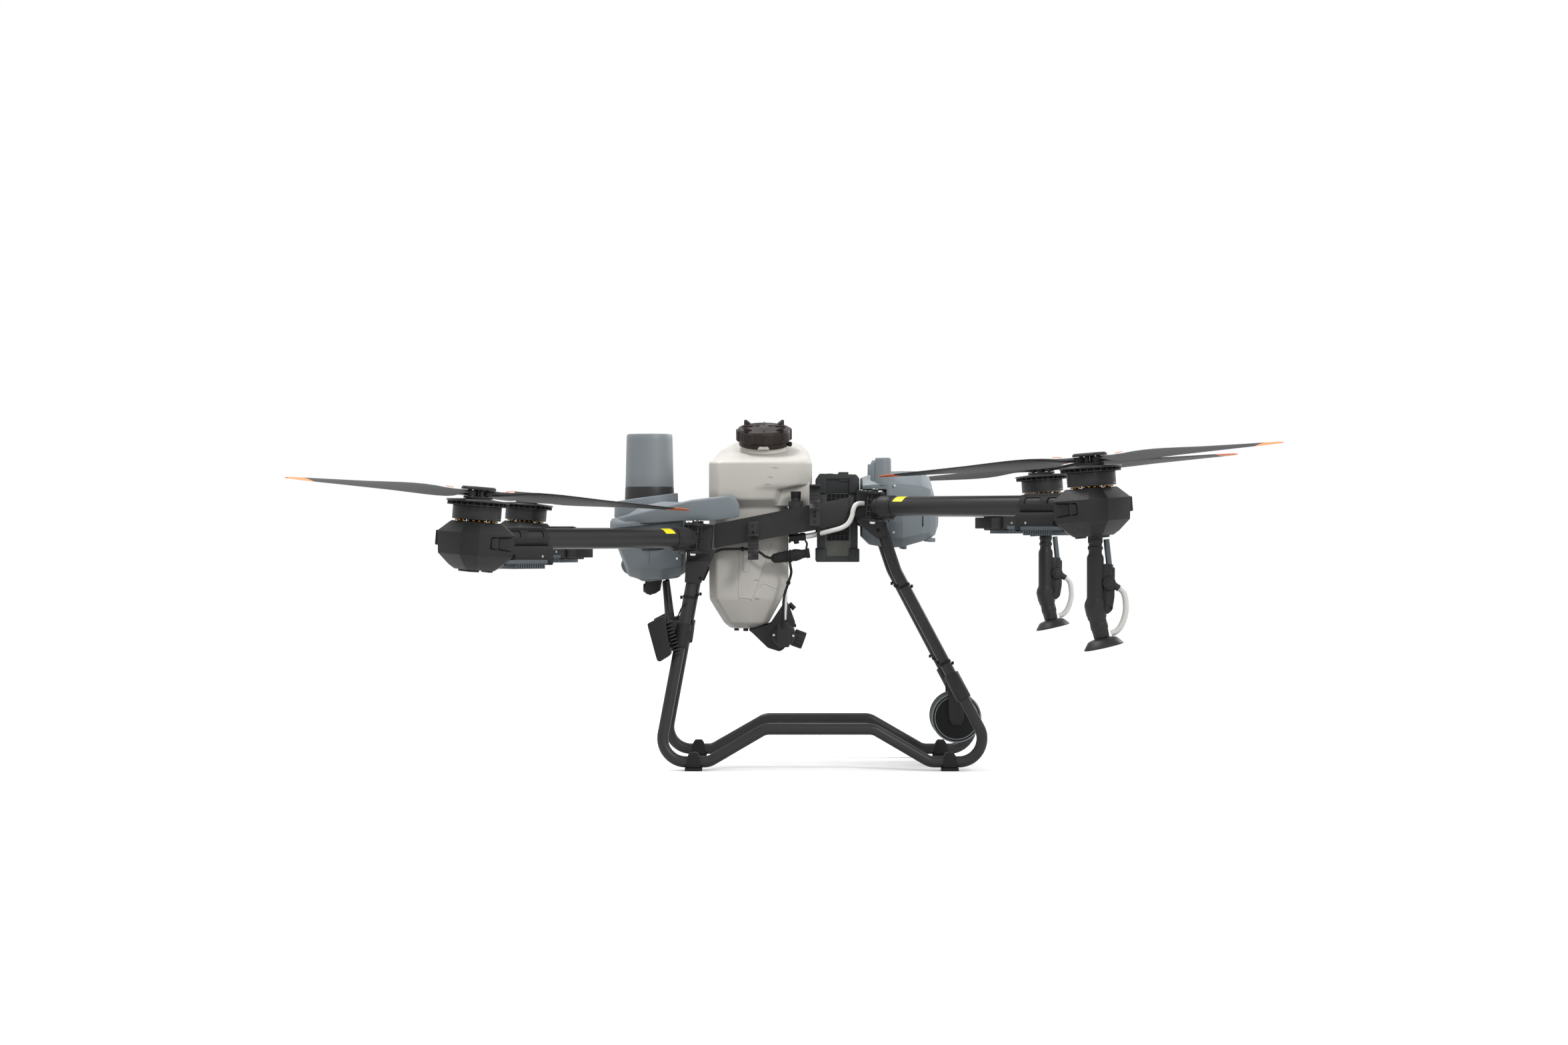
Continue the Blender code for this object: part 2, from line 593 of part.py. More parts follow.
def fillet(previous, corner, following, radius, steps):
    """Points that round a corner of an X-Z path."""
    a = (Vector(previous) - Vector(corner)).normalized()
    b = (Vector(following) - Vector(corner)).normalized()
    half = a.angle(b) / 2
    start = Vector(corner) + a * radius / tan(half)
    end = Vector(corner) + b * radius / tan(half)
    centre = Vector(corner) + (a + b).normalized() * radius / sin(half)
    points = []
    for i in range(steps + 1):
        blend = start.lerp(end, i / steps) - centre
        points.append(centre + blend.normalized() * radius)
    return points


def skid_path():
    """The bent tube's centre line in X and Z, from the front socket to the rear one."""
    low, high = SKID_Z, 0.0994
    front_top, rear_top = leg_point(-1, 0.490), leg_point(1, 0.590)
    front_foot, rear_foot = leg_point(-1, low), leg_point(1, low)
    knee = leg_point(1, 0.4816)
    corners = [
        ((front_top.x, 0.490), 0, 0), ((front_foot.x, low), 0.0565, 8), ((-0.1823, low), 0.04, 3),
        ((-0.0467, high), 0.04, 3), ((0.2174, high), 0.04, 3), ((0.353, low), 0.04, 3),
        ((rear_foot.x, low), 0.0565, 8), ((knee.x, 0.4816), 0.12, 2), ((rear_top.x, 0.590), 0, 0),
    ]
    path = [Vector(corners[0][0])]
    for before, (corner, radius, steps), after in zip(corners, corners[1:], corners[2:]):
        path += fillet(before[0], corner, after[0], radius, steps)
    path.append(Vector(corners[-1][0]))
    return path


def skid(side, sides=14):
    """One landing gear side, a single bent tube that leans inwards as it rises."""
    centre = [Vector((x, side * (SKID_Y - (z - SKID_Z) * SKID_LEAN), z)) for x, z in skid_path()]
    across = Vector((0, 1, 0))
    rings = []
    for i, point in enumerate(centre):
        ahead = (centre[min(i + 1, len(centre) - 1)] - centre[max(i - 1, 0)]).normalized()
        flat = (across - ahead * across.dot(ahead)).normalized()
        normal = ahead.cross(flat)
        turn = [2 * pi * k / sides for k in range(sides)]
        rings.append([point + (flat * cos(t) + normal * sin(t)) * LEG_RADIUS for t in turn])
    return loft(rings)


def foot():
    """A rubber saddle under the skid tube, about the tube's centre."""
    levels = [(-SKID_Z, 0.0210, 0.0170), (-0.0080, 0.0210, 0.0170), (0.0100, 0.0150, 0.0170),
              (0.0234, 0.0080, 0.0120)]
    rings = []
    for z, x, y in levels:
        rings.append([(x, y, z), (-x, y, z), (-x, -y, z), (x, -y, z)])
    bore = rod((-0.05, 0, 0), (0.05, 0, 0), LEG_RADIUS + TOUCH, 28)
    return combine(loft(rings), cut=[bore])


def spotlight(side):
    """A work light on the front leg with its clamp and the stay up to the nose cover."""
    lamp_low, lamp_high = sorted((side * 0.1490, side * 0.2150))
    lamp = side_prism([(-0.3308, 0.3545), (-0.2880, 0.3740), (-0.2730, 0.2800), (-0.3004, 0.2625)],
                      lamp_low, lamp_high)
    plate_low, plate_high = sorted((side * 0.1760, side * 0.1860))
    plate = side_prism([(-0.2960, 0.3560), (-0.2400, 0.3600), (-0.2280, 0.3330), (-0.2340, 0.2920),
                        (-0.2860, 0.3000)], plate_low, plate_high)
    clamp = leg_bar(-1, side, 0.298, 0.354, 0.0185)
    stay_low, stay_high = (-0.2820, side * 0.160, 0.345), (-0.2937, side * 0.0812, 0.4550)
    stay = rod(stay_low, stay_high, 0.0062, 10)
    hole = leg_bar(-1, side, 0.25, 0.40, LEG_RADIUS + TOUCH)
    return combine(lamp, joined=[plate, clamp, stay], cut=[hole])


def rear_radar():
    drum = rod((0.4259, -0.060, 0.1176), (0.4259, 0.060, 0.1176), 0.0623, 32)
    return drum


def rear_radar_bracket():
    """The cross tube clamped between the rear legs, with two cheeks that hold the radar drum."""
    bar = rod((0.4215, -0.180, 0.2015), (0.4215, 0.180, 0.2015), 0.0095, 12)
    joined, holes = [], []
    for side in (-1, 1):
        joined.append(leg_bar(1, side, 0.172, 0.232, 0.0185))
        low, high = sorted((side * (0.060 + TOUCH), side * 0.0655))
        cheek = [(0.4040, 0.2040), (0.4390, 0.2040), (0.4450, 0.1176), (0.4370, 0.1000), (0.4150, 0.1000),
                 (0.4070, 0.1176)]
        joined.append(side_prism(cheek, low, high))
        holes.append(leg_bar(1, side, 0.150, 0.260, LEG_RADIUS + TOUCH))
    return combine(bar, joined=joined, cut=holes)


CAMERA_AXIS = (-0.325, 0.0, 0.437)


def fpv_camera():
    body = rod((0, -0.0286, 0), (0, 0.0286, 0), 0.0145, 18)
    lens = rod((0, 0, 0), (-0.0255, 0, 0), 0.0105, 14)
    return combine(body, joined=[lens])


# ---------------------------------------------------------------- tank and battery
def tank_ring(z, x0, x1, half, corner, lean=0.0):
    """A chamfered plan of the tank with the shallow facets of its rear half."""
    length = x1 - x0
    near = [(x0, -half + corner), (x0 + corner * 0.6, -half), (x0 + 0.55 * length, -half),
            (x1 - 0.11 * length, -half + 0.35 * corner), (x1, -half + 1.25 * corner)]
    far = [(x, -y) for x, y in reversed(near)]
    return [(x, y, z + lean * (y + 0.030)) for x, y in near + far]


def spray_tank():
    lean = tan(CAP_TILT)
    rings = [
        tank_ring(0.3385, -0.135, -0.062, 0.072, 0.022), tank_ring(0.352, -0.148, -0.037, 0.094, 0.026),
        tank_ring(0.412, -0.183, -0.005, 0.116, 0.030), tank_ring(0.455, -0.184, 0.0114, 0.118, 0.030),
        tank_ring(0.640, -0.184, 0.0114, 0.118, 0.030), tank_ring(0.656, -0.184, -0.003, 0.149, 0.036),
        tank_ring(0.680, -0.184, -0.001, 0.153, 0.036), tank_ring(0.690, -0.184, 0.069, 0.153, 0.038),
        tank_ring(0.744, -0.184, 0.069, 0.153, 0.038), tank_ring(0.764, -0.160, 0.058, 0.136, 0.034, 0.4 * lean),
        tank_ring(0.7800, -0.120, 0.022, 0.088, 0.034, lean),
    ]
    body = loft(rings)
    neck = rod(cap_point(-0.060), cap_point(-0.0318), 0.0575, 28)
    shoulder = box((-0.030, -0.1180, 0.6400), (0.0640, 0.1180, 0.7000))
    return combine(body, joined=[neck, shoulder])


CAP_CENTRE = (-0.0497, -0.0300, 0.8235)


def cap_point(distance):
    x, y, z = CAP_CENTRE
    return (x, y - distance * sin(CAP_TILT), z + distance * cos(CAP_TILT))


def tank_cap():
    """The lobed filler cap with its collar, about the tilted filler axis."""
    lobes, steps = 8, 4
    outline = []
    for i in range(lobes * steps):
        radius = 0.0696 if i % steps in (0, 1) else 0.0650
        turn = 2 * pi * (i - 0.5) / (lobes * steps)
        outline.append((radius * cos(turn), radius * sin(turn)))
    grip = flat_prism(outline, -0.0195, 0.0165)
    collar = turned([(0.0600, -0.0315), (0.0620, -0.0300), (0.0620, -0.0180)], 28)
    boss = turned([(0.0250, 0.015), (0.0250, 0.0230), (0.0200, 0.0260)], 16)
    return combine(grip, joined=[collar, boss])


FILTER_AXIS = Vector((cos(radians(20)), 0, -sin(radians(20))))
FILTER_CENTRE = Vector((0.0356, -0.030, 0.3113))


def pump_housing():
    """The bracket under the tank with both pump heads and the filter's neck."""
    outline = [(-0.0897, 0.3355), (-0.0800, 0.3292), (-0.0400, 0.2907), (-0.0080, 0.2819),
               (0.0277, 0.3520), (0.0110, 0.3980), (0.0010, 0.4050), (-0.0325, 0.3500), (-0.0600, 0.3360)]
    plate = side_prism(outline, -0.068, 0.068)
    parts = [rod(FILTER_CENTRE - FILTER_AXIS * 0.040, FILTER_CENTRE - FILTER_AXIS * (0.014 + TOUCH), 0.0180, 16)]
    for side in (-1, 1):
        parts.append(rod((-0.001, side * 0.060, 0.3238), (-0.001, side * 0.110, 0.3238), 0.0285, 24))
        y0, y1 = sorted((side * 0.100, side * 0.1250))
        parts.append(box((-0.0175, y0, 0.2920), (0.0155, y1, 0.3570)))
    return combine(plate, joined=parts)


def filter_cap():
    """The ribbed screw cap of the filter, about its sloping axis."""
    sides = 24
    outline = []
    for i in range(sides):
        radius = 0.0215 if i % 2 else 0.0200
        outline.append((radius * cos(2 * pi * i / sides), radius * sin(2 * pi * i / sides)))
    return flat_prism(outline, -0.014, 0.015)


def battery():
    """The flight battery with a raised handle cap and corner guards."""
    case = box((0.084, -0.105, 0.506), (0.180, 0.105, 0.700))
    parts = [box((0.0790, -0.110, 0.668), (0.1850, 0.110, 0.720)),
             box((0.1020, -0.070, 0.715), (0.1600, 0.070, 0.726)),
             box((0.0790, -0.110, 0.503), (0.1850, 0.110, 0.528))]
    return combine(case, joined=parts)


HOSE_ROUTE = [(0.0535, 0.1450, 0.5657), (0.0620, 0.1452, 0.5669), (0.0740, 0.1500, 0.5690),
              (0.0920, 0.1650, 0.5740), (0.1150, 0.1725, 0.5800), (0.1400, 0.1740, 0.5870),
              (0.1560, 0.1750, 0.5980), (0.1650, 0.1760, 0.6150), (0.1680, 0.1765, 0.6300),
              (0.1735, 0.1750, 0.6415), (0.1825, 0.1730, 0.6460), (0.1960, 0.1727, 0.6465)]
CABLE_ROUTE = [(-0.150, -0.1470, 0.5340), (-0.120, -0.1470, 0.5355), (-0.089, -0.1472, 0.5350),
               (-0.062, -0.1475, 0.5285), (-0.044, -0.1475, 0.5165), (-0.025, -0.1475, 0.5125),
               (0.0000, -0.1475, 0.5140), (0.0120, -0.1475, 0.5080), (0.0155, -0.1470, 0.4940),
               (0.0175, -0.1450, 0.4760), (0.0090, -0.1400, 0.4480), (0.0005, -0.1350, 0.4200),
               (-0.0016, -0.1305, 0.3900), (-0.0016, -0.1290, 0.3626), (-0.0015, -0.1290, 0.3450)]
PLUG_CENTRE = (0.0020, -0.1475, 0.5165)
PLUG_DIRECTION = (0.103, 0.0, 0.016)
PLUG_PROFILE = [(0.0060, -0.034), (0.0125, -0.026), (0.0155, 0.0), (0.0155, 0.018),
                (0.0125, 0.040), (0.0115, 0.060)]


def pump_cable():
    """The pump's lead with the plug that it passes through under the rail."""
    lead = as_mesh(hose(CABLE_ROUTE, 0.0032, 48))
    lean = Vector((0, 0, 1)).rotation_difference(Vector(PLUG_DIRECTION)).to_matrix().to_4x4()
    plug = moved(turned(PLUG_PROFILE, 20), Matrix.Translation(PLUG_CENTRE) @ lean)
    return combine(lead, joined=[plug])


def place_fixed_parts():
    node("front_frame", front_frame(), "dark_metal")
    node("rear_frame", rear_frame(), "dark_metal")
    node("front_shell", front_shell(), "grey_shell")
    node("front_radar", front_radar(), "grey_shell")
    node("rear_shell", rear_shell(), "grey_shell")
    for name, side in SIDES.items():
        node(f"{name}_rail", rail(side), "dark_metal")
        node(f"{name}_skid", skid(side), "dark_metal")
        for end, x in (("front", -0.2186), ("rear", 0.4010)):
            node(f"{end}_{name}_foot", foot(), "rubber", None, (x, side * SKID_Y, SKID_Z))
        node(f"{name}_spotlight", spotlight(side), "black_plastic")
        route = [mirrored(p, side) for p in HOSE_ROUTE]
        hose_node(f"{name}_delivery_hose", hose(route, 0.0058, 16), "hose_white")
    node("rear_radar", rear_radar(), "black_plastic")
    node("rear_radar_bracket", rear_radar_bracket(), "dark_metal")
    node("fpv_camera", fpv_camera(), "black_plastic", None, CAMERA_AXIS)
    node("pump_cable", pump_cable(), "rubber")


def place_tank_and_battery():
    tank = node("spray_tank", spray_tank(), "tank_plastic")
    filler = Matrix.Rotation(CAP_TILT, 4, "X")
    node("tank_cap", tank_cap(), "black_plastic", tank, CAP_CENTRE, filler)
    node("pump_housing", pump_housing(), "black_plastic", tank)
    along = Vector((0, 0, 1)).rotation_difference(FILTER_AXIS).to_matrix().to_4x4()
    node("filter_cap", filter_cap(), "black_plastic", tank, FILTER_CENTRE, along)
    node("battery", battery(), "dark_metal")


def main():
    for obj in list(bpy.data.objects):
        bpy.data.objects.remove(obj)
    for corner in CORNERS:
        arm = build_arm(corner)
        if corner.startswith("rear"):
            build_sprinkler(corner.split("_")[1], arm)
    place_fixed_parts()
    place_tank_and_battery()
    roots = [obj for obj in bpy.data.objects if obj.parent is None]
    middle = pivot("overall_middle", (-TAIL_REACH, 0, 0))
    for obj in roots:
        obj.parent = middle


main()
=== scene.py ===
"""Looks of the agricultural spray drone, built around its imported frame."""

import json
from math import atan2, cos, pi, radians, sin, tan

import bmesh
import bpy
from mathutils import Matrix, Vector

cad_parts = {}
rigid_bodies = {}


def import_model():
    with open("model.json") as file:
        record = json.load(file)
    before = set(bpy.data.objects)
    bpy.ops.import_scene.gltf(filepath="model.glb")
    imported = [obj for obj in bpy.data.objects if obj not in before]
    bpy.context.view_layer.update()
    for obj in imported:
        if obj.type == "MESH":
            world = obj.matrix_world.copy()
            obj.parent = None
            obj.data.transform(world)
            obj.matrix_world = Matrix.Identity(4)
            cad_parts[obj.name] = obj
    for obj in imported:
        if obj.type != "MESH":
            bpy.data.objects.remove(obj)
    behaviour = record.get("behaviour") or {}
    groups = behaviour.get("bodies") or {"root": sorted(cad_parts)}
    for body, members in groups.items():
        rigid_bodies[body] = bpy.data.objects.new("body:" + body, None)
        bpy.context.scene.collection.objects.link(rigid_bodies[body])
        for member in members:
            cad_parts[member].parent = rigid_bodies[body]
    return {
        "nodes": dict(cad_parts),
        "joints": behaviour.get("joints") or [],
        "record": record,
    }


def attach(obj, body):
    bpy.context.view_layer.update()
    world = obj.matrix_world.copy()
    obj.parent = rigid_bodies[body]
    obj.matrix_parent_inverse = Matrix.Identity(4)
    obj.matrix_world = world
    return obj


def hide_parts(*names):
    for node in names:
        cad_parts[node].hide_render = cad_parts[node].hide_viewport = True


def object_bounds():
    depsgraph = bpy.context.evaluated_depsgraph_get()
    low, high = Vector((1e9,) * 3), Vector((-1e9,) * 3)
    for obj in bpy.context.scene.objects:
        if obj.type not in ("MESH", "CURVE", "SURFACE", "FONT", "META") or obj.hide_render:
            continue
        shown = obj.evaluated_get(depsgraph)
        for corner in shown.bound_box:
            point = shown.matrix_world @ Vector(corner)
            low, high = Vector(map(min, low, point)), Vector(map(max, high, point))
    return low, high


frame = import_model()
cad_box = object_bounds()

BODIES = frame["record"]["behaviour"]["bodies"]
NODE_BODY = {node: body for body, nodes in BODIES.items() for node in nodes}
NODE_SLOT = {s["node"]: s["material_slot"] for s in frame["record"]["subparts"]}
JOINTS = {joint["name"]: joint for joint in frame["joints"]}
CORNERS = {"front_port": (-1, -1), "front_starboard": (-1, 1), "rear_port": (1, -1),
    "rear_starboard": (1, 1),}
SIDES = {"port": -1, "starboard": 1}


# ---------------------------------------------------------------- materials
def srgb(code):
    """A hex colour as linear RGBA."""
    values = [int(code[i:i + 2], 16) / 255 for i in (1, 3, 5)]
    return (*[v / 12.92 if v <= 0.04045 else ((v + 0.055) / 1.055) ** 2.4 for v in values], 1.0)


# blacks under this linear value get the weaker mirror-like part
DARK = 0.05
DARK_SPECULAR = 0.22
CLOUD_SCALE = 14.0
# how sharp an edge has to be to start getting the painted highlight, and to get it fully, as
# Pointiness
HIGHLIGHT_START, HIGHLIGHT_FULL = 0.54, 0.72
ROUGH_BELOW, ROUGH_ABOVE = 0.06, 0.08


def finish(name, colour, rough, metallic=0.0, grain=900.0, depth=0.00006, mottle=0.12, edge_highlight=0.0,
        coat=0.0, soft=0.0):
    """A moulded, cast or painted surface: fine grain, slight mottling, a painted highlight on sharp
    edges.
    """
    material = bpy.data.materials.new(name)
    material.use_nodes = True
    tree = material.node_tree
    shader = tree.nodes["Principled BSDF"]
    place = tree.nodes.new("ShaderNodeTexCoord")
    cloud = tree.nodes.new("ShaderNodeTexNoise")
    cloud.inputs["Scale"].default_value = CLOUD_SCALE
    cloud.inputs["Detail"].default_value = 6.0
    tree.links.new(place.outputs["Object"], cloud.inputs["Vector"])
    shades = tree.nodes.new("ShaderNodeMix")
    shades.data_type = "RGBA"
    base = srgb(colour)
    shades.inputs["A"].default_value = (*[c * (1 - mottle) for c in base[:3]], 1)
    shades.inputs["B"].default_value = (*[min(1, c * (1 + mottle)) for c in base[:3]], 1)
    tree.links.new(cloud.outputs["Fac"], shades.inputs["Factor"])
    result = shades.outputs["Result"]
    # sharp edges are painted lighter: a painted highlight where light would catch them
    if edge_highlight:
        geometry = tree.nodes.new("ShaderNodeNewGeometry")
        ramp = tree.nodes.new("ShaderNodeMapRange")
        ramp.inputs["From Min"].default_value = HIGHLIGHT_START
        ramp.inputs["From Max"].default_value = HIGHLIGHT_FULL
        ramp.inputs["To Max"].default_value = edge_highlight
        tree.links.new(geometry.outputs["Pointiness"], ramp.inputs["Value"])
        highlighted = tree.nodes.new("ShaderNodeMix")
        highlighted.data_type = "RGBA"
        highlighted.inputs["B"].default_value = (*[min(1, c * 2.2 + 0.02) for c in base[:3]], 1)
        tree.links.new(ramp.outputs["Result"], highlighted.inputs["Factor"])
        tree.links.new(result, highlighted.inputs["A"])
        result = highlighted.outputs["Result"]
    tree.links.new(result, shader.inputs["Base Color"])
    if max(base[:3]) < DARK and metallic < 0.5:
        shader.inputs["Specular IOR Level"].default_value = DARK_SPECULAR
    grit = tree.nodes.new("ShaderNodeTexNoise")
    grit.inputs["Scale"].default_value = grain
    grit.inputs["Detail"].default_value = 3.0
    tree.links.new(place.outputs["Object"], grit.inputs["Vector"])
    sheen = tree.nodes.new("ShaderNodeMapRange")
    sheen.inputs["To Min"].default_value = rough - ROUGH_BELOW
    sheen.inputs["To Max"].default_value = min(1.0, rough + ROUGH_ABOVE)
    tree.links.new(grit.outputs["Fac"], sheen.inputs["Value"])
    tree.links.new(sheen.outputs["Result"], shader.inputs["Roughness"])
    bump = tree.nodes.new("ShaderNodeBump")
    bump.inputs["Strength"].default_value = 0.9
    bump.inputs["Distance"].default_value = depth
    tree.links.new(grit.outputs["Fac"], bump.inputs["Height"])
    tree.links.new(bump.outputs["Normal"], shader.inputs["Normal"])
    shader.inputs["Metallic"].default_value = metallic
    shader.inputs["Coat Weight"].default_value = coat
    if soft:
        shader.inputs["Subsurface Weight"].default_value = soft
        shader.inputs["Subsurface Radius"].default_value = (0.02, 0.018, 0.015)
        shader.inputs["Subsurface Scale"].default_value = 0.6
    return material


# several looks below paint a highlight on their sharp edges
LOOKS = {"frame_black": finish("cast_black", "#252526", 0.5, 0.05, 1400, 0.00003, 0.1, edge_highlight=0.2),
    "tube_grey": finish("tube_grey", "#303031", 0.4, 0.2, 1800, 0.00002, 0.06),
    "pod_black": finish("pod_black", "#202020", 0.55, 0.0, 260, 0.0006, 0.16, edge_highlight=0.2),
    "rotor_black": finish("rotor_black", "#2c2c2d", 0.42, 0.25, 1600, 0.00002, 0.06, edge_highlight=0.2),
    "blade_black": finish("blade_black", "#262627", 0.58, 0.0, 1100, 0.00001, 0.04),
    "latch_steel": finish("latch_steel", "#c9c9c6", 0.25, 0.95, 700, 0.00001, 0.04),
    "shell_grey": finish("shell_grey", "#6b7378", 0.52, 0.0, 1300, 0.00005, 0.05, edge_highlight=0.1),
    "radar_grey": finish("radar_grey", "#747b7e", 0.46, 0.0, 1500, 0.00004, 0.04),
    "tank_milk": finish("tank_milk", "#b1aea8", 0.45, 0.0, 900, 0.00003, 0.03, soft=0.05),
    "cap_black": finish("cap_black", "#241d1b", 0.42, 0.0, 900, 0.00005, 0.12, edge_highlight=0.25),
    "pump_black": finish("pump_black", "#232324", 0.5, 0.0, 800, 0.00006, 0.12, edge_highlight=0.2),
    "battery_black": finish("battery_black", "#2f3132", 0.54, 0.0, 1000, 0.00005, 0.1, edge_highlight=0.15),
    "light_black": finish("light_black", "#202021", 0.48, 0.1, 1000, 0.00005, 0.1, edge_highlight=0.2),
    "camera_black": finish("camera_black", "#1c1c1e", 0.28, 0.0, 1500, 0.00002, 0.08),
    "sprinkler_black": finish("sprinkler_black", "#262627", 0.46, 0.0, 900, 0.00004, 0.08,
    edge_highlight=0.15), "hose_white": finish("hose_white", "#cfcecb", 0.36, 0.0, 1200, 0.00002, 0.03,
    soft=0.05), "rubber_black": finish("rubber_black", "#1d1d1e", 0.72, 0.0, 700, 0.00008, 0.12),
    "core_black": finish("core_black", "#121213", 0.7, 0.0, 700, 0.00005, 0.1),
    "tip_orange": finish("tip_orange", "#ff7a30", 0.5, 0.0, 1200, 0.00002, 0.03),
    "label_yellow": finish("label_yellow", "#f5e400", 0.4, 0.0, 1400, 0.00001, 0.02),
    "copper": finish("copper", "#b77f2c", 0.35, 0.8, 900, 0.00004, 0.2),
    "fin_grey": finish("fin_grey", "#4c5459", 0.5, 0.3, 1200, 0.00004, 0.06, edge_highlight=0.15),
    "lens_glass": finish("lens_glass", "#0b0d12", 0.08, 0.0, 900, 0.00001, 0.05, coat=1.0),
    "lever_dark": finish("lever_dark", "#3f4042", 0.4, 0.6, 900, 0.00001, 0.06),
    "battery_olive": finish("battery_olive", "#444640", 0.52, 0.0, 1000, 0.00005, 0.08),}
SLOTS = {m["slot"] for m in frame["record"]["materials"]}
STAND_IN_SLOTS = {"core_black": "rubber_black", "tip_orange": "blade_black",
    "label_yellow": "tube_grey", "copper": "rotor_black", "fin_grey": "pod_black",
    "lens_glass": "camera_black", "battery_olive": "battery_black", "lever_dark": "latch_steel"}


# ---------------------------------------------------------------- mesh tools
# in degrees: edges over SHARP_ANGLE stay crisp, and refine() rounds those over REFINE_ANGLE
SHARP_ANGLE = 40
REFINE_ANGLE = 34
FLAT_ANGLE = 0.6
WELD_REACH = 0.000005
LINE_STEPS = 6


class Shape:
    """Closed shells that become one piece."""

    def __init__(self, vertices=(), faces=()):
        self.vertices = [Vector(v) for v in vertices]
        self.faces = [tuple(f) for f in faces]

    def __add__(self, other):
        shift = len(self.vertices)
        joined = Shape(self.vertices + other.vertices, self.faces)
        joined.faces += [tuple(i + shift for i in f) for f in other.faces]
        return joined

    def at(self, *matrices):
        """A copy moved by each matrix in turn, or shifted by a point."""
        moved = Shape(self.vertices, self.faces)
        for matrix in matrices:
            if not isinstance(matrix, Matrix):
                matrix = Matrix.Translation(matrix)
            moved.vertices = [matrix @ v for v in moved.vertices]
        return moved


def total(shapes):
    """Many shapes as one."""
    result = Shape()
    for shape in shapes:
        result = result + shape
    return result


def loft(rings):
    """A closed shell through rings of the same number of points."""
    count = len(rings[0])
    faces = [tuple(range(count)), tuple(range(len(rings) * count - count, len(rings) * count))]
    for level in range(len(rings) - 1):
        start = level * count
        for i in range(count):
            j = (i + 1) % count
            faces.append((start + i, start + j, start + count + j, start + count + i))
    return Shape([p for ring in rings for p in ring], faces)


def block(low, high):
    """A box between two corners, given in either order."""
    (x0, x1), (y0, y1), (z0, z1) = (sorted(pair) for pair in zip(low, high))
    base = [(x0, y0), (x1, y0), (x1, y1), (x0, y1)]
    return loft([[(x, y, z) for x, y in base] for z in (z0, z1)])


def side_prism(outline, *ends):
    """An (x, z) outline drawn out along Y between two ends, given in either order."""
    return loft([[(x, y, z) for x, z in outline] for y in sorted(ends)])


def flat_prism(outline, z0, z1):
    """An (x, y) outline drawn out along Z."""
    return loft([[(x, y, z) for x, y in outline] for z in (z0, z1)])


def cross_prism(outline, x0, x1):
    """A (y, z) outline drawn out along X."""
    return loft([[(x, y, z) for y, z in outline] for x in (x0, x1)])


def turned(profile, sides=48):
    """A solid of revolution about Z from (radius, height) steps."""
    turn = [2 * pi * i / sides for i in range(sides)]
    return loft([[(r * cos(t), r * sin(t), z) for t in turn] for r, z in profile])


def washer(profile, sides=48):
    """A ring turned from a closed (radius, height) outline."""
    count = len(profile)
    points, faces = [], []
    for i in range(sides):
        t = 2 * pi * i / sides
        points += [(r * cos(t), r * sin(t), z) for r, z in profile]
        for k in range(count):
            a, b = i * count + k, i * count + (k + 1) % count
            c, d = ((i + 1) % sides) * count + (k + 1) % count, ((i + 1) % sides) * count + k
            faces.append((a, b, c, d))
    return Shape(points, faces)


def aim(direction):
    """The turn that points Z along a direction."""
    return Vector((0, 0, 1)).rotation_difference(Vector(direction)).to_matrix().to_4x4()


def rod(start, end, radius, sides=24, end_radius=None, round_off=0.0):
    """A round bar with softened ends."""
    start, end = Vector(start), Vector(end)
    length = (end - start).length
    last = end_radius or radius
    profile = [(radius, 0.0), (last, length)]
    if round_off:
        profile = [(radius - round_off, 0.0), (radius, round_off), (last, length - round_off),
            (last - round_off, length)]
    return turned(profile, sides).at(aim(end - start), start)


def tube(points, radius, sides=20):
    """A round tube swept along points."""
    points = [Vector(p) for p in points]
    rings = []
    flat = Vector((0, 1, 0))
    for i, point in enumerate(points):
        ahead = (points[min(i + 1, len(points) - 1)] - points[max(i - 1, 0)]).normalized()
        flat = (flat - ahead * ahead.dot(flat)).normalized()
        normal = ahead.cross(flat)
        turn = [2 * pi * k / sides for k in range(sides)]
        rings.append([point + (flat * cos(t) + normal * sin(t)) * radius for t in turn])
    return loft(rings)


def smooth_route(points, steps=8):
    """Points on a smooth curve through the given ones."""
    points = [Vector(p) for p in points]
    fine = []
    for i in range(len(points) - 1):
        p1, p2 = points[i], points[i + 1]
        p0 = points[i - 1] if i else p1 * 2 - p2
        p3 = points[i + 2] if i + 2 < len(points) else p2 * 2 - p1
        for step in range(steps):
            t = step / steps
            fine.append(0.5 * (2 * p1 + (p2 - p0) * t + (2 * p0 - 5 * p1 + 4 * p2 - p3) * t * t
                + (3 * p1 - p0 - 3 * p2 + p3) * t ** 3))
    return fine + [points[-1]]


def arc(centre, radius, start, end, steps):
    """Points on an arc between two angles in degrees."""
    angles = [radians(start + (end - start) * i / steps) for i in range(steps + 1)]
    return [(centre[0] + radius * cos(a), centre[1] + radius * sin(a)) for a in angles]


def rounded(outline, radius, steps=4):
    """A 2-D outline with its corners rounded."""
    result = []
    for i, corner in enumerate(outline):
        corner = Vector(corner)
        a = Vector(outline[i - 1]) - corner
        b = Vector(outline[(i + 1) % len(outline)]) - corner
        reach = min(radius, 0.45 * a.length, 0.45 * b.length)
        start, end = corner + a.normalized() * reach, corner + b.normalized() * reach
        for k in range(steps + 1):
            t = k / steps
            result.append(tuple(start * (1 - t) ** 2 + corner * 2 * t * (1 - t) + end * t ** 2))
    return result


def oblong(half_length, half_width, steps=10):
    """A flat outline with round ends."""
    reach = half_length - half_width
    return arc((reach, 0), half_width, -90, 90, steps) + arc((-reach, 0), half_width, 90, 270,
        steps)


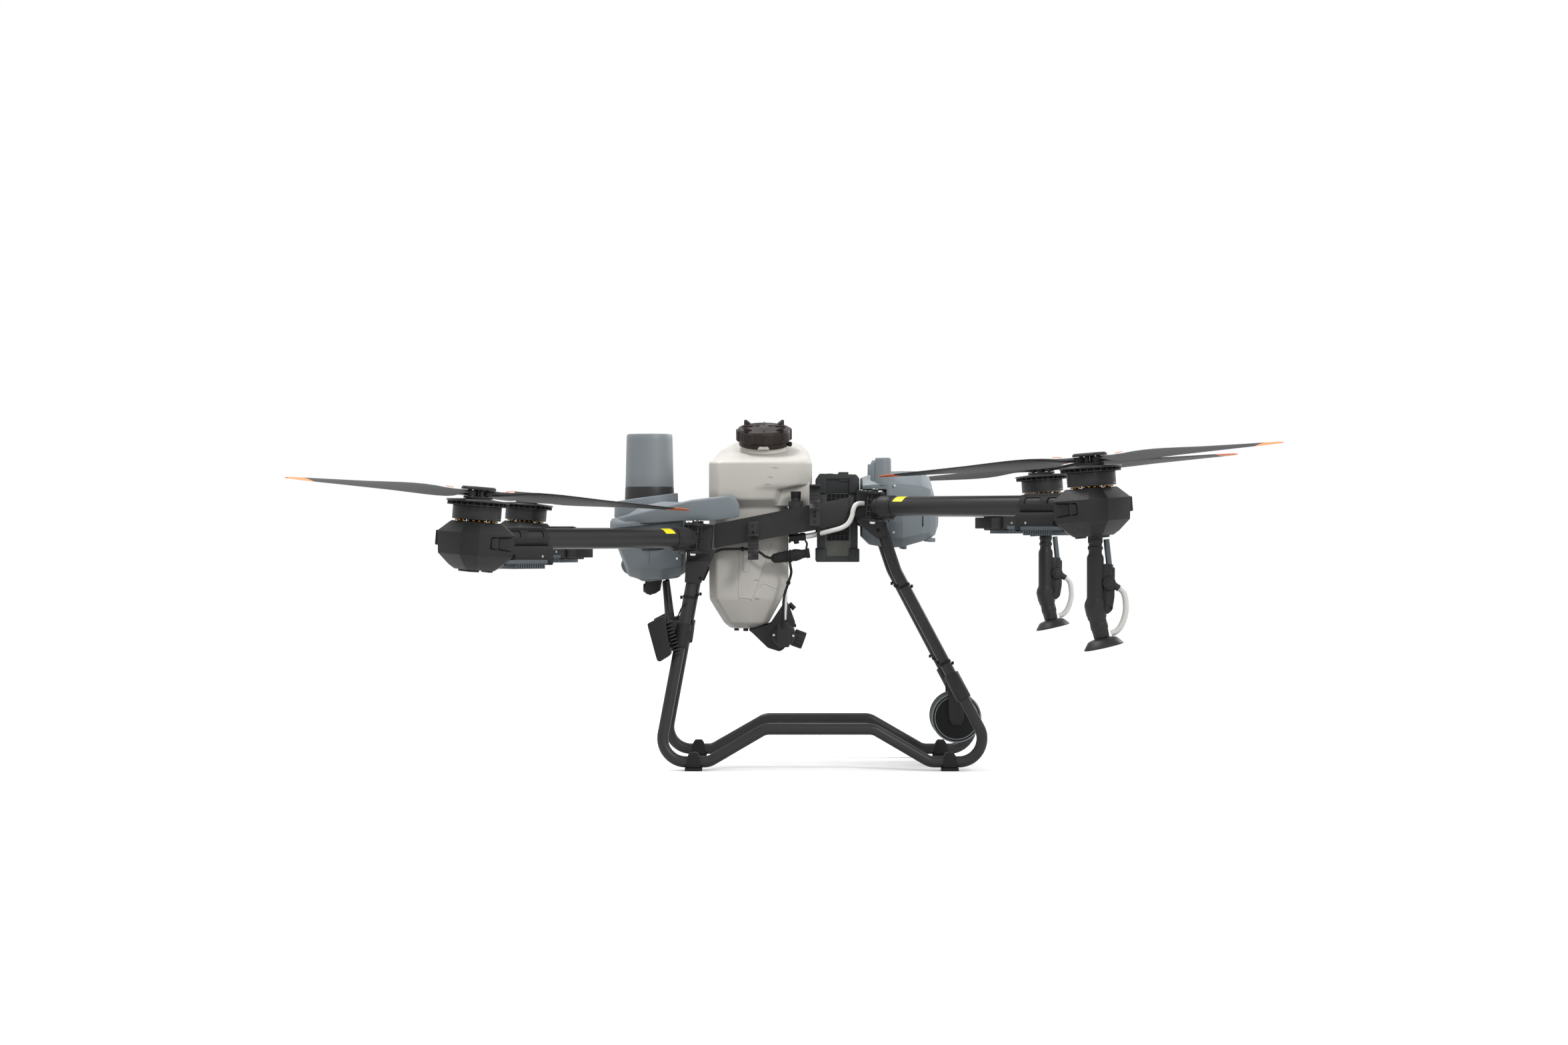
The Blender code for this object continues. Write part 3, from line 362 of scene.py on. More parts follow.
def screw(radius=0.0035, height=0.002):
    """A socket-head screw standing on Z = 0."""
    rim = washer([(radius, 0), (radius, height * 0.7), (radius * 0.85, height),
        (radius * 0.5, height), (radius * 0.5, height * 0.3), (radius * 0.5, 0)], 20)
    return rim + turned([(radius * 0.52, 0.0), (radius * 0.52, height * 0.3)], 12)


def side_screw(side, x, y, z, *size):
    """A screw that stands out of one side, at a distance y from the middle plane."""
    return screw(*size).at(Matrix.Rotation(-side * pi / 2, 4, "X"), (x, side * y, z))


def around(shape, count, shift=0.0):
    """Copies of a shape spaced evenly about Z."""
    return [shape.at(Matrix.Rotation(2 * pi * (k + shift) / count, 4, "Z")) for k in range(count)]


def make(name, shape, look, body, at=None, bevel=0.0, segments=2, angle=32, cut=()):
    """Turn a shape into a piece that rides on a body."""
    mesh = bpy.data.meshes.new(name)
    mesh.from_pydata([tuple(v) for v in shape.vertices], [], shape.faces)
    if at is not None:
        mesh.transform(at)
    bm = bmesh.new()
    bm.from_mesh(mesh)
    bmesh.ops.recalc_face_normals(bm, faces=bm.faces)
    bm.to_mesh(mesh)
    bm.free()
    piece = bpy.data.objects.new(name, mesh)
    bpy.context.scene.collection.objects.link(piece)
    for k, tool in enumerate(cut):
        cutter = make(f"{name}_cut_{k}", tool, look, None, at)
        boolean = piece.modifiers.new("cut", "BOOLEAN")
        boolean.operation = "DIFFERENCE"
        boolean.solver = "EXACT"
        boolean.object = cutter
    if cut:
        apply_modifiers(piece)
        for k in range(len(cut)):
            bpy.data.objects.remove(bpy.data.objects[f"{name}_cut_{k}"])
    if bevel:
        soften = piece.modifiers.new("bevel", "BEVEL")
        soften.width = bevel
        soften.segments = segments
        soften.limit_method = "ANGLE"
        soften.angle_limit = radians(angle)
        soften.use_clamp_overlap = True
        apply_modifiers(piece)
    piece.data.materials.append(LOOKS[look])
    piece.data.shade_smooth()
    piece.data.set_sharp_from_angle(angle=radians(SHARP_ANGLE if bevel else angle))
    if body is not None:
        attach(piece, body)
        look if look in SLOTS else STAND_IN_SLOTS[look]
    return piece


def fixed(name, shape, look, *softening):
    """A piece that stays with the airframe, drawn in the airframe's coordinates."""
    return make(name, shape, look, "root", AIRFRAME, *softening)


def apply_modifiers(piece):
    """Replace the mesh by what its modifiers make of it."""
    bpy.context.view_layer.update()
    evaluated = piece.evaluated_get(bpy.context.evaluated_depsgraph_get())
    mesh = bpy.data.meshes.new_from_object(evaluated)
    piece.modifiers.clear()
    piece.data = mesh


def refine(node, bevel):
    """A softened copy of a CAD node that stands for it."""
    look = NODE_SLOT[node]
    mesh = frame["nodes"][node].data.copy()
    bm = bmesh.new()
    bm.from_mesh(mesh)
    bmesh.ops.remove_doubles(bm, verts=bm.verts, dist=WELD_REACH)
    bmesh.ops.dissolve_limit(bm, angle_limit=radians(FLAT_ANGLE), verts=bm.verts, edges=bm.edges)
    bm.to_mesh(mesh)
    bm.free()
    mesh.materials.clear()
    mesh.materials.append(LOOKS[look])
    piece = bpy.data.objects.new(f"{node}_skin", mesh)
    bpy.context.scene.collection.objects.link(piece)
    soften = piece.modifiers.new("bevel", "BEVEL")
    soften.width = bevel
    soften.segments = 2
    soften.limit_method = "ANGLE"
    soften.angle_limit = radians(REFINE_ANGLE)
    apply_modifiers(piece)
    piece.data.shade_smooth()
    piece.data.set_sharp_from_angle(angle=radians(SHARP_ANGLE))
    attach(piece, NODE_BODY[node])
    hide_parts(node)


# ---------------------------------------------------------------- where things are
AIRFRAME_X = sum(JOINTS[f"{c}_fold"]["pos_m"][0] for c in CORNERS) / 4
AIRFRAME = Matrix.Translation((AIRFRAME_X, 0, 0))
BLADE_HEIGHT = 0.1045
BLADE_PIN = 0.027
TIP_START = 0.552
TUBE_RADIUS = 0.024
POD_CORNER = 0.42
HINGE_LEAN = Matrix.Rotation(radians(5), 4, "Y")
HUB_RISE = 0.1
LOCK_Y = 0.145
FILLER_TILT = radians(14)
NOZZLE_TILT = radians(13)
# each blade's heading at rest, in degrees from the line through the two blade pins
HEADINGS = {"front_port": 7.1, "front_starboard": -7.1, "rear_port": -7.1, "rear_starboard": 1.1}


def arm_frames(corner):
    """The arm's, the motor's and the hub's coordinates at rest, and the arm's length."""
    hinge = Vector(JOINTS[f"{corner}_fold"]["pos_m"])
    spin = JOINTS[f"{corner}_propeller_spin"]
    up = Vector(spin["axis"])
    up = up if up.z > 0 else -up
    motor = Vector(spin["pos_m"]) - up * HUB_RISE
    yaw = atan2(motor.y - hinge.y, motor.x - hinge.x)
    tilt = Matrix.Rotation(atan2(up.x, up.z), 4, "Y")
    a, b = (Vector(JOINTS[f"{corner}_blade_{k}_fold"]["pos_m"]) for k in "ab")
    line = tilt.inverted() @ (a - b)
    hub_yaw = atan2(line.y, line.x)
    arm = Matrix.Translation(hinge) @ Matrix.Rotation(yaw, 4, "Z")
    turned_motor = Matrix.Translation(motor) @ tilt @ Matrix.Rotation(yaw, 4, "Z")
    hub = Matrix.Translation(motor) @ tilt @ Matrix.Rotation(hub_yaw, 4, "Z")
    return arm, turned_motor, hub, (motor - hinge).length


# ---------------------------------------------------------------- arms
def hinge_look(corner, arm):
    """Lattice knuckle and ribbed collar."""
    body = f"{corner}_arm"
    turn = arm.to_quaternion().to_matrix().to_4x4()
    place = Matrix.Translation(arm.to_translation()) @ HINGE_LEAN @ turn
    make(f"{corner}_knuckle_core", turned([(0.015, -0.028), (0.015, 0.028)], 32), "core_black",
        body, place)
    parts = [turned([(0.0105, -0.0285), (0.0105, 0.0285)], 24)]
    for z in (-0.0285, -0.0142, 0.0005, 0.015, 0.0265):
        parts.append(turned([(0.0178, z), (0.0184, z + 0.0005), (0.0184, z + 0.0016),
            (0.0178, z + 0.002)], 32))
    parts += around(block((0.008, -0.001, -0.0275), (0.0182, 0.001, 0.028)), 8, 0.5)
    knuckle = make(f"{corner}_knuckle", total(parts), "tube_grey", body, place, 0.0003)
    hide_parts(f"{corner}_hinge_block")
    x_axis = Matrix.Rotation(pi / 2, 4, "Y")
    collar = turned([(0.021, 0.012), (0.0236, 0.014), (0.024, 0.018), (0.024, 0.024),
        (0.0258, 0.027), (0.0262, 0.03), (0.0262, 0.06), (0.0258, 0.0615), (0.0252, 0.0618),
        (0.0252, 0.0632), (0.026, 0.0636), (0.026, 0.0672), (0.025, 0.068), (0.0242, 0.068)],
        56).at(x_axis)
    make(f"{corner}_collar", collar, "frame_black", body, arm, 0.0003)
    ribs = [block((0.014, y - 0.0016, -0.0275), (0.04, y + 0.0016, -0.0235)) for y in (-0.009, 0.0,
        0.009)]
    ribs.append(block((0.038, -0.0085, -0.0285), (0.06, 0.0085, -0.0235)))
    make(f"{corner}_collar_lug", total(ribs), "frame_black", body, arm, 0.0006)


def tube_look(corner, arm, length):
    """Arm tube and the plain yellow label."""
    front, side = CORNERS[corner]
    body = f"{corner}_arm"
    bar = rod((0.0683, 0, 0), (length - 0.031, 0, 0), TUBE_RADIUS, 64)
    piece = make(f"{corner}_tube", bar, "tube_grey", body, arm, 0.0003)
    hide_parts(f"{corner}_arm_tube")
    face = front * side
    inner, outer = TUBE_RADIUS + 0.00002, TUBE_RADIUS + 0.00025
    steps = 10
    rings = []
    for k in range(steps + 1):
        t = radians(28 + 48 * k / steps)
        slant = 0.006 * (k / steps - 0.5)
        ring = []
        for x, r in ((0.082 + slant, inner), (0.082 + slant, outer), (0.112 + slant, outer),
                (0.112 + slant, inner)):
            ring.append((x, face * r * cos(t), r * sin(t)))
        rings.append(ring)
    make(f"{corner}_label", loft(rings), "label_yellow", body, arm)


def latch_look(corner, arm):
    """The hook lever that locks the arm open."""
    body = f"{corner}_latch"
    outline = [(-0.03, 0.003), (0.001, 0.003), (0.0029, 0.0018), (0.0035, -0.0004),
        (0.0021, -0.0031), (-0.019, -0.0034), (-0.024, -0.0074), (-0.0288, -0.0074),
        (-0.03, -0.0035)]
    lever = side_prism(rounded(outline, 0.0012, 3), -0.006, 0.006)
    wings = [block((-0.029, y - 0.0005, -0.0074), (-0.018, y + 0.0005, -0.003)) for y in (-0.0058,
        0.0058)]
    place = arm @ Matrix.Translation((0.064, 0, -0.0305))
    lever = make(f"{corner}_latch_hook", lever + total(wings), "lever_dark", body, place, 0.0004)
    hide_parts(f"{corner}_arm_latch")


def eight_sided(out, back, wide, z):
    """A pod's outline at one height: a box with its four corners cut off."""
    c = POD_CORNER * wide
    corners = [(out, -wide + c), (out, wide - c), (out - c, wide), (-back + c, wide),
        (-back, wide - c), (-back, -wide + c), (-back + c, -wide), (out - c, -wide)]
    return [(x, y, z) for x, y in corners]


def pod_look(corner, arm, motor):
    """Faceted motor mount with its side recesses, sleeve, controller and cooling fins."""
    front, side = CORNERS[corner]
    body = f"{corner}_arm"
    levels = [(-0.0695, 0.035, 0.045, 0.039), (-0.06, 0.048, 0.058, 0.05),
        (-0.036, 0.071, 0.08, 0.07), (0.014, 0.0755, 0.0835, 0.0735), (0.035, 0.054, 0.059, 0.054),
        (0.0395, 0.049, 0.054, 0.049)]
    helmet = loft([eight_sided(out, back, wide, z) for z, out, back, wide in levels])
    cuts = []
    for s in (-1, 1):
        recess = rounded([(-0.066, -0.026), (0.01, -0.019), (0.01, 0.008), (-0.066, 0.014)], 0.005,
            4)
        cuts.append(side_prism(recess, s * 0.063, s * 0.095))
        for x, z in ((-0.07, 0.004), (-0.056, -0.033)):
            cuts.append(rod((x, s * 0.04, z), (x, s * 0.095, z), 0.0032, 16))
    cuts.append(block((0.01, -0.03, -0.08), (0.024, 0.03, -0.063)))
    cuts.append(block((-0.16, -0.0245, -0.0247), (-0.029, 0.0245, 0.0247)))
    shell = make(f"{corner}_pod", helmet, "pod_black", body, motor, 0.0028, 3, 20, cuts)
    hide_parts(f"{corner}_motor_pod")
    details = []
    for s in (-1, 1):
        details.append(side_prism(rounded([(-0.014, -0.019), (0.007, -0.017), (0.007, 0.0055),
            (-0.014, 0.0075)], 0.004, 4), s * 0.061, s * 0.0725))
        details.append(side_prism(rounded([(-0.06, -0.022), (-0.019, -0.0185), (-0.019, 0.007),
            (-0.06, 0.0095)], 0.004, 4), s * 0.061, s * 0.066))
    lug = block((0.07, -0.014, -0.019), (0.0885, 0.014, 0.015))
    details.append(lug.at(Matrix.Rotation(-front * side * pi / 4, 4, "Z")))
    details.append(block((-0.004, -0.021, -0.0745), (0.026, 0.021, -0.064)))
    details.append(flat_prism([(-0.05, -0.012), (-0.036, -0.016), (-0.036, 0.016), (-0.05, 0.012)],
        -0.074, -0.06))
    make(f"{corner}_pod_blocks", total(details), "pod_black", body, motor, 0.0022, 3)
    posts = [rod((0.036 * cos(t), 0.036 * sin(t), 0.038), (0.036 * cos(t), 0.036 * sin(t), 0.0438),
        0.0068, 20) for t in (radians(45 + 90 * k) for k in range(4))]
    posts.append(turned([(0.022, 0.036), (0.022, 0.0438)], 32))
    make(f"{corner}_standoffs", total(posts), "rotor_black", body, motor, 0.0006)
    coils = around(block((0.0405, -0.0024, 0.0405), (0.049, 0.0024, 0.0437)), 24)
    make(f"{corner}_windings", total(coils), "copper", body, motor, 0.0008)
    here = Matrix.Translation(motor.to_translation()) @ arm.to_quaternion().to_matrix().to_4x4()
    sleeve = washer([(0.0243, -0.196), (0.0256, -0.1965), (0.0272, -0.195), (0.0278, -0.191),
        (0.0278, -0.058), (0.0243, -0.058)], 56).at(Matrix.Rotation(pi / 2, 4, "Y"))
    windows = []
    for x0, x1 in ((-0.18, -0.136), (-0.113, -0.07)):
        for s in (-1, 1):
            outline = rounded([(x0, 0.003), (x1, 0.003), (x1, 0.019), (x0, 0.019)], 0.004)
            windows.append(side_prism(outline, s * 0.01, s * 0.04))
    make(f"{corner}_sleeve", sleeve, "pod_black", body, here, 0.0005, 2, 34, windows)
    make(f"{corner}_sleeve_lining", rod((-0.19, 0, 0), (-0.064, 0, 0), 0.0253, 56), "tube_grey",
        body, here)
    controller_look(corner, here, body, side > 0)


def controller_look(corner, here, body, extra):
    """Speed controller box with vents, screws and a finned heat sink."""
    outline = [(-0.0335, -0.016), (0.0335, -0.016), (0.036, -0.026), (0.036, -0.056),
        (0.033, -0.06), (-0.033, -0.06), (-0.036, -0.056), (-0.036, -0.026)]
    case = cross_prism(outline, -0.2, -0.056)
    cuts = [block((-0.088, -0.05, -0.047), (-0.07, 0.05, -0.036))]
    for s in (-1, 1):
        band = [(-0.19, -0.0495), (-0.176, -0.043), (-0.064, -0.043), (-0.06, -0.065),
            (-0.19, -0.065)]
        cuts.append(side_prism(band, s * 0.0338, s * 0.05))
    make(f"{corner}_controller", case, "pod_black", body, here, 0.0012, 2, 30, cuts)
    grilles, screws = [], []
    for s in (-1, 1):
        for k in range(4):
            x = -0.086 + 0.0045 * k
            grilles.append(block((x, s * 0.03, -0.0468), (x + 0.002, s * 0.0348, -0.0362)))
        screws.append(side_screw(s, -0.168, 0.0352, -0.04, 0.0028, 0.0018))
    make(f"{corner}_controller_grille", total(grilles), "core_black", body, here)
    make(f"{corner}_controller_screws", total(screws), "latch_steel", body, here)
    sink = [block((-0.184, -0.0345, -0.0585), (-0.062, 0.0345, -0.048))]
    for k in range(17):
        x = -0.176 + 0.0052 * k
        sink.append(block((x, -0.035, -0.0685), (x + 0.0024, 0.035, -0.05)))
    make(f"{corner}_heat_sink", total(sink), "fin_grey", body, here, 0.0004)
    if extra:
        box_shape = block((-0.24, -0.03, -0.055), (-0.2003, 0.03, -0.0256))
        make(f"{corner}_power_box", box_shape, "pod_black", body, here, 0.0015, 2)


def rotor_look(corner, hub):
    """Motor bell, ribbed flange, hub and blade clamp plates."""
    body = f"{corner}_spin"
    bell = turned([(0.0525, 0.0442), (0.0545, 0.0442), (0.0556, 0.0452), (0.0556, 0.0486),
        (0.0551, 0.049), (0.0551, 0.0498), (0.0556, 0.0502), (0.0556, 0.0745), (0.0548, 0.0756),
        (0.03, 0.0756)], 72)
    piece = make(f"{corner}_bell", bell, "rotor_black", body, hub, 0.0003)
    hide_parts(f"{corner}_rotor")
    flange = turned([(0.05, 0.0838), (0.0695, 0.0838), (0.0713, 0.085), (0.0715, 0.0872),
        (0.07, 0.0886), (0.048, 0.0905), (0.03, 0.0922), (0.025, 0.0928), (0.02, 0.093)], 72)
    ribs = around(block((0.04, -0.0008, 0.0756), (0.069, 0.0008, 0.0845)), 28)
    hoop = washer([(0.0672, 0.0762), (0.069, 0.0762), (0.069, 0.078), (0.0672, 0.078)], 64)
    core = turned([(0.056, 0.075), (0.056, 0.0842)], 64)
    make(f"{corner}_flange", flange + hoop + total(ribs), "rotor_black", body, hub, 0.0003)
    make(f"{corner}_flange_core", core, "core_black", body, hub)
    lower = flat_prism(oblong(0.0415, 0.015), 0.0925, 0.0972)
    upper = loft([[(x, y, z) for x, y in oblong(0.047 - inset, 0.0225 - inset)] for z,
        inset in ((0.1124, 0.0), (0.1172, 0.0), (0.118, 0.0024), (0.1198, 0.0028))])
    posts = [turned([(0.006, 0.096), (0.006, 0.113)], 20).at((x, y, 0)) for x,
        y in ((0, 0.0085), (0, -0.0085))]
    posts += [turned([(0.0048, 0.096), (0.0048, 0.113)], 20).at((x, 0, 0)) for x in (-BLADE_PIN,
        BLADE_PIN)]
    cuts = [turned([(0.0055, 0.1182), (0.0055, 0.13)], 24).at((x, 0, 0)) for x in (-BLADE_PIN,
        BLADE_PIN)]
    cuts.append(flat_prism(oblong(0.016, 0.005), 0.1186, 0.13))
    make(f"{corner}_clamp_lower", lower + total(posts), "rotor_black", body, hub, 0.0006)
    make(f"{corner}_clamp_upper", upper, "rotor_black", body, hub, 0.0008, 2, 34, cuts)
    heads = [screw(0.004, 0.0014).at((x, 0, 0.1182)) for x in (-BLADE_PIN, BLADE_PIN)]
    make(f"{corner}_clamp_screws", total(heads), "rotor_black", body, hub)


BLADE_STATIONS = [(0.004, 0.021, 0.0115, 0, 0.0), (0.02, 0.0222, 0.0114, 2, 0.0),
    (0.035, 0.026, 0.011, 5, 0.0), (0.055, 0.035, 0.01, 11, 0.001),
    (0.075, 0.046, 0.009, 16, 0.002), (0.1, 0.059, 0.0083, 18.5, 0.003),
    (0.13, 0.069, 0.0076, 19, 0.003), (0.165, 0.0745, 0.0069, 18.2, 0.0027),
    (0.2, 0.077, 0.0062, 17, 0.002), (0.26, 0.0735, 0.0056, 15, 0.0008),
    (0.32, 0.067, 0.005, 13, -0.001), (0.38, 0.0608, 0.0045, 12, -0.0024),
    (0.44, 0.054, 0.004, 11, -0.004), (0.49, 0.0482, 0.0036, 10, -0.005),
    (0.54, 0.042, 0.0032, 9, -0.006), (0.552, 0.0396, 0.0031, 8.8, -0.0066),
    (0.57, 0.0355, 0.0029, 8.4, -0.0075), (0.59, 0.03, 0.0026, 8, -0.009),
    (0.601, 0.0215, 0.0023, 8, -0.0115), (0.607, 0.012, 0.002, 8, -0.0138),]
AIRFOIL = [(-0.5, 0.0), (-0.47, 0.22), (-0.4, 0.4), (-0.25, 0.56), (-0.05, 0.62), (0.15, 0.5),
    (0.35, 0.26), (0.5, 0.04), (0.5, -0.04), (0.35, -0.16), (0.15, -0.28), (-0.05, -0.38),
    (-0.25, -0.42), (-0.4, -0.32), (-0.47, -0.18)]


def airfoil_ring(station, hand):
    """The blade's section at a station, for a propeller that turns the given way."""
    reach, chord, thick, pitch, sweep = station
    turn = radians(pitch)
    ring = []
    for across, up in AIRFOIL:
        y, z = across * chord, up * thick
        ring.append((reach, -hand * (y * cos(turn) + z * sin(turn) + sweep),
            z * cos(turn) - y * sin(turn)))
    return ring


def blade_look(corner, letter, hub):
    """One blade with its eye, orange tip and a small mark."""
    front, side = CORNERS[corner]
    hand = -front * side
    body = f"{corner}_blade_{letter}"
    outward = 1 if letter == "a" else -1
    heading = radians(HEADINGS[corner] if letter == "a" else 180 - HEADINGS[corner])
    place = hub @ Matrix.Translation((outward * BLADE_PIN, 0,
        BLADE_HEIGHT)) @ Matrix.Rotation(heading, 4, "Z")
    wing = loft([airfoil_ring(s, hand) for s in BLADE_STATIONS if s[0] <= TIP_START])
    eye = washer([(0.0053, -0.0063), (0.0122, -0.0063), (0.0128, -0.0057), (0.0128, 0.0057),
        (0.0122, 0.0063), (0.0053, 0.0063)], 40)
    piece = make(f"{body}_wing", wing + eye, "blade_black", body, place)
    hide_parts(body)
    tip = loft([airfoil_ring(s, hand) for s in BLADE_STATIONS if s[0] >= TIP_START])
    make(f"{body}_tip", tip, "tip_orange", body, place)
    mark = []
    for k in range(9):
        t = k / 8
        y = -hand * (-0.01 + 0.004 * sin(pi * t))
        mark.append((0.05 + 0.026 * t, y, 0.0094 + 0.0022 * t))
    band = tube(mark, 0.00085, 6)
    make(f"{body}_mark", band, "tip_orange", body, place)


def build_arms():
    """Everything that rides on the four arms."""
    for corner in CORNERS:
        arm, motor, hub, length = arm_frames(corner)
        hinge_look(corner, arm)
        tube_look(corner, arm, length)
        latch_look(corner, arm)
        pod_look(corner, arm, motor)
        rotor_look(corner, hub)
        for letter in "ab":
            blade_look(corner, letter, hub)


build_arms()

# ---------------------------------------------------------------- nose
def mirror_pair(shape):
    """The shape and its mirror image across the middle plane."""
    return shape + Shape([(v.x, -v.y, v.z) for v in shape.vertices], shape.faces)


def body_section(x, levels):
    """A cross-section of a cover at x, from (height, half width) levels."""
    right = [(x, w, z) for z, w in levels]
    return right + [(x, -w, z) for z, w in reversed(levels)]


def nose_look():
    """Nose cover, its fairings, chin, keel and sensor covers."""
    stations = [(-0.43, [(0.578, 0.042), (0.583, 0.052), (0.6, 0.052), (0.606, 0.044)]),
        (-0.412, [(0.54, 0.058), (0.556, 0.078), (0.598, 0.078), (0.612, 0.062)]),
        (-0.384, [(0.468, 0.066), (0.492, 0.096), (0.598, 0.098), (0.62, 0.074)]),
        (-0.353, [(0.459, 0.08), (0.485, 0.11), (0.606, 0.112), (0.64, 0.085)]),
        (-0.3, [(0.461, 0.09), (0.484, 0.118), (0.612, 0.12), (0.652, 0.095)]),
        (-0.2478, [(0.472, 0.092), (0.494, 0.122), (0.615, 0.124), (0.65, 0.1)]),]
    hull = loft([body_section(x, levels) for x, levels in stations])
    shell = fixed("nose_hull", hull, "shell_grey", 0.0055, 3, 12)
    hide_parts("front_shell")
    tray = []
    for z, grow in ((0.612, 0.0), (0.64, -0.0015)):
        ring = []
        for x, y in oblong(0.08 + grow, 0.0715 + grow, 14):
            ring.append((x - 0.3425, y, z + (0.0 if z < 0.62 else 0.02 + 0.14 * (x + 0.02))))
        tray.append(ring)
    fixed("radar_tray", loft(tray), "shell_grey", 0.003, 3, 40)
    wings = [(-0.427, 0.03, 0.048, 0.586, 0.609), (-0.39, 0.05, 0.09, 0.592, 0.618),
        (-0.34, 0.08, 0.124, 0.598, 0.63), (-0.295, 0.09, 0.148, 0.601, 0.64),
        (-0.26, 0.1, 0.1635, 0.604, 0.648), (-0.248, 0.156, 0.168, 0.6045, 0.6505),
        (-0.2256, 0.1575, 0.1698, 0.6045, 0.6555), (-0.17, 0.1578, 0.17, 0.605, 0.6622),
        (-0.1331, 0.158, 0.17, 0.61, 0.6668), (-0.118, 0.1582, 0.1698, 0.612, 0.66),
        (-0.1092, 0.1585, 0.169, 0.615, 0.6454),]
    rings = []
    for x, near, far, low, high in wings:
        chamfer = min(0.004, 0.3 * (far - near))
        rings.append([(x, near, low), (x, far - chamfer, low), (x, far, low + 0.014),
            (x, far, high - 0.005), (x, far - chamfer, high), (x, near, high)])
    fixed("nose_fairings", mirror_pair(loft(rings)), "shell_grey", 0.0015, 2, 30)
    rings = []
    x0, x1, y, z = -0.348, -0.286, 0.1185, 0.552
    for k in range(9):
        t = k / 8
        swell = 0.01 * sin(pi * t) ** 0.6
        x = x0 + (x1 - x0) * t
        rings.append([(x, y - 0.01, z - 0.021), (x, y - 0.004 + 0.6 * swell, z - 0.019),
            (x, y + swell, z - 0.008), (x, y + swell, z + 0.014), (x, y - 0.01, z + 0.018)])
    fixed("nose_sensor_covers", mirror_pair(loft(rings)), "tube_grey", 0.0012)
    chin = [(-0.384, 0.47), (-0.398, 0.48), (-0.404, 0.496), (-0.398, 0.51), (-0.388, 0.515),
        (-0.376, 0.5)]
    fixed("nose_chin", side_prism(rounded(chin, 0.007, 4), -0.052, 0.052), "shell_grey", 0.006, 3)
    keel = [(-0.376, 0.47), (-0.35, 0.456), (-0.33, 0.4545), (-0.26, 0.464), (-0.25, 0.49),
        (-0.3, 0.5), (-0.37, 0.49)]
    fixed("nose_keel", mirror_pair(side_prism(keel, 0.034, 0.078)), "shell_grey", 0.003)
    cheek = side_prism([(-0.343, 0.424), (-0.331, 0.42), (-0.309, 0.43), (-0.302, 0.47),
        (-0.345, 0.47)], 0.029, 0.0345)
    fixed("camera_cheeks", mirror_pair(cheek), "pump_black", 0.001)
    upright = block((-0.33, 0.1192, 0.5), (-0.3293, 0.1206, 0.606))
    level = side_prism([(-0.417, 0.5855), (-0.255, 0.6005), (-0.255, 0.6012), (-0.417, 0.5862)],
        0.06, 0.1235)
    fixed("nose_seams", mirror_pair(upright) + mirror_pair(level), "core_black")
    screws = [side_screw(s, x, y, z, 0.0032) for s in (-1, 1) for x, y,
        z in ((-0.372, 0.093, 0.602), (-0.262, 0.123, 0.512))]
    fixed("nose_screws", total(screws), "latch_steel")


def radar_look():
    """The round radar on the nose, and the camera under it."""
    centre = (-0.3345, 0, 0)
    dome = turned([(0.0596, 0.6885), (0.06, 0.6895), (0.0592, 0.72), (0.0572, 0.806),
        (0.0568, 0.8145), (0.0556, 0.8185), (0.053, 0.82), (0.03, 0.8206)], 96).at(centre)
    piece = fixed("radar_dome", dome, "radar_grey")
    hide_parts("front_radar")
    ring = turned([(0.0605, 0.64), (0.0612, 0.6605), (0.0604, 0.686), (0.0598, 0.688)],
        96).at(centre)
    fixed("radar_ring", ring, "tube_grey")
    place = Matrix.Translation((-0.325, 0, 0.437))
    barrel = turned([(0.0128, -0.0286), (0.0143, -0.0272), (0.0145, -0.02), (0.0138, -0.019),
        (0.0138, 0.019), (0.0145, 0.02), (0.0143, 0.0272), (0.0128, 0.0286)],
        40).at(Matrix.Rotation(pi / 2, 4, "X"))
    snout = turned([(0.0118, 0.0), (0.0118, 0.02), (0.0105, 0.0245), (0.0085, 0.025),
        (0.008, 0.0225)], 40)
    body = barrel + snout.at(Matrix.Rotation(-pi / 2, 4, "Y"))
    piece = make("camera_barrel", body, "camera_black", "camera", AIRFRAME @ place, 0.0003)
    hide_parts("fpv_camera")
    lens = turned([(0.0078, 0.022), (0.007, 0.0236), (0.0045, 0.0247), (0.001, 0.025)], 32)
    make("camera_lens", lens.at(Matrix.Rotation(-pi / 2, 4, "Y")), "lens_glass", "camera",
        AIRFRAME @ place)


# ---------------------------------------------------------------- tank
def tank_ring(z, x0, x1, half, corner, lean=0.0):
    """The tank's outline at one height; lean tilts it towards the filler."""
    length = x1 - x0
    near = [(x0, -half + corner), (x0 + corner * 0.6, -half), (x0 + 0.55 * length, -half),
        (x1 - 0.11 * length, -half + 0.35 * corner), (x1, -half + 1.25 * corner)]
    far = [(x, -y) for x, y in reversed(near)]
    return [(x, y, z + lean * (y + 0.03)) for x, y in near + far]


def between(steps, z):
    """The value at height z on a line through (height, value) steps."""
    for (low, first), (high, second) in zip(steps, steps[1:]):
        if z <= high:
            return first + (second - first) * max(0.0, z - low) / (high - low)
    return steps[-1][1]


def tank_side(x, z):
    """How far the tank's side wall stands from the middle plane, as tank_ring draws it."""
    half = between([(0.352, 0.092), (0.412, 0.116), (0.455, 0.118), (0.636, 0.118)], z)
    nose = between([(0.352, -0.147), (0.412, -0.183), (0.455, -0.184), (0.636, -0.184)], z)
    tail = between([(0.352, -0.038), (0.412, -0.0055), (0.455, 0.011), (0.636, 0.011)], z)
    corner = between([(0.352, 0.026), (0.412, 0.03), (0.636, 0.03)], z)
    first, second = nose + 0.55 * (tail - nose), tail - 0.11 * (tail - nose)
    if x <= first:
        return half
    if x <= second:
        return half - 0.35 * corner * (x - first) / (second - first)
    return half - 0.35 * corner - 0.9 * corner * (x - second) / (tail - second)


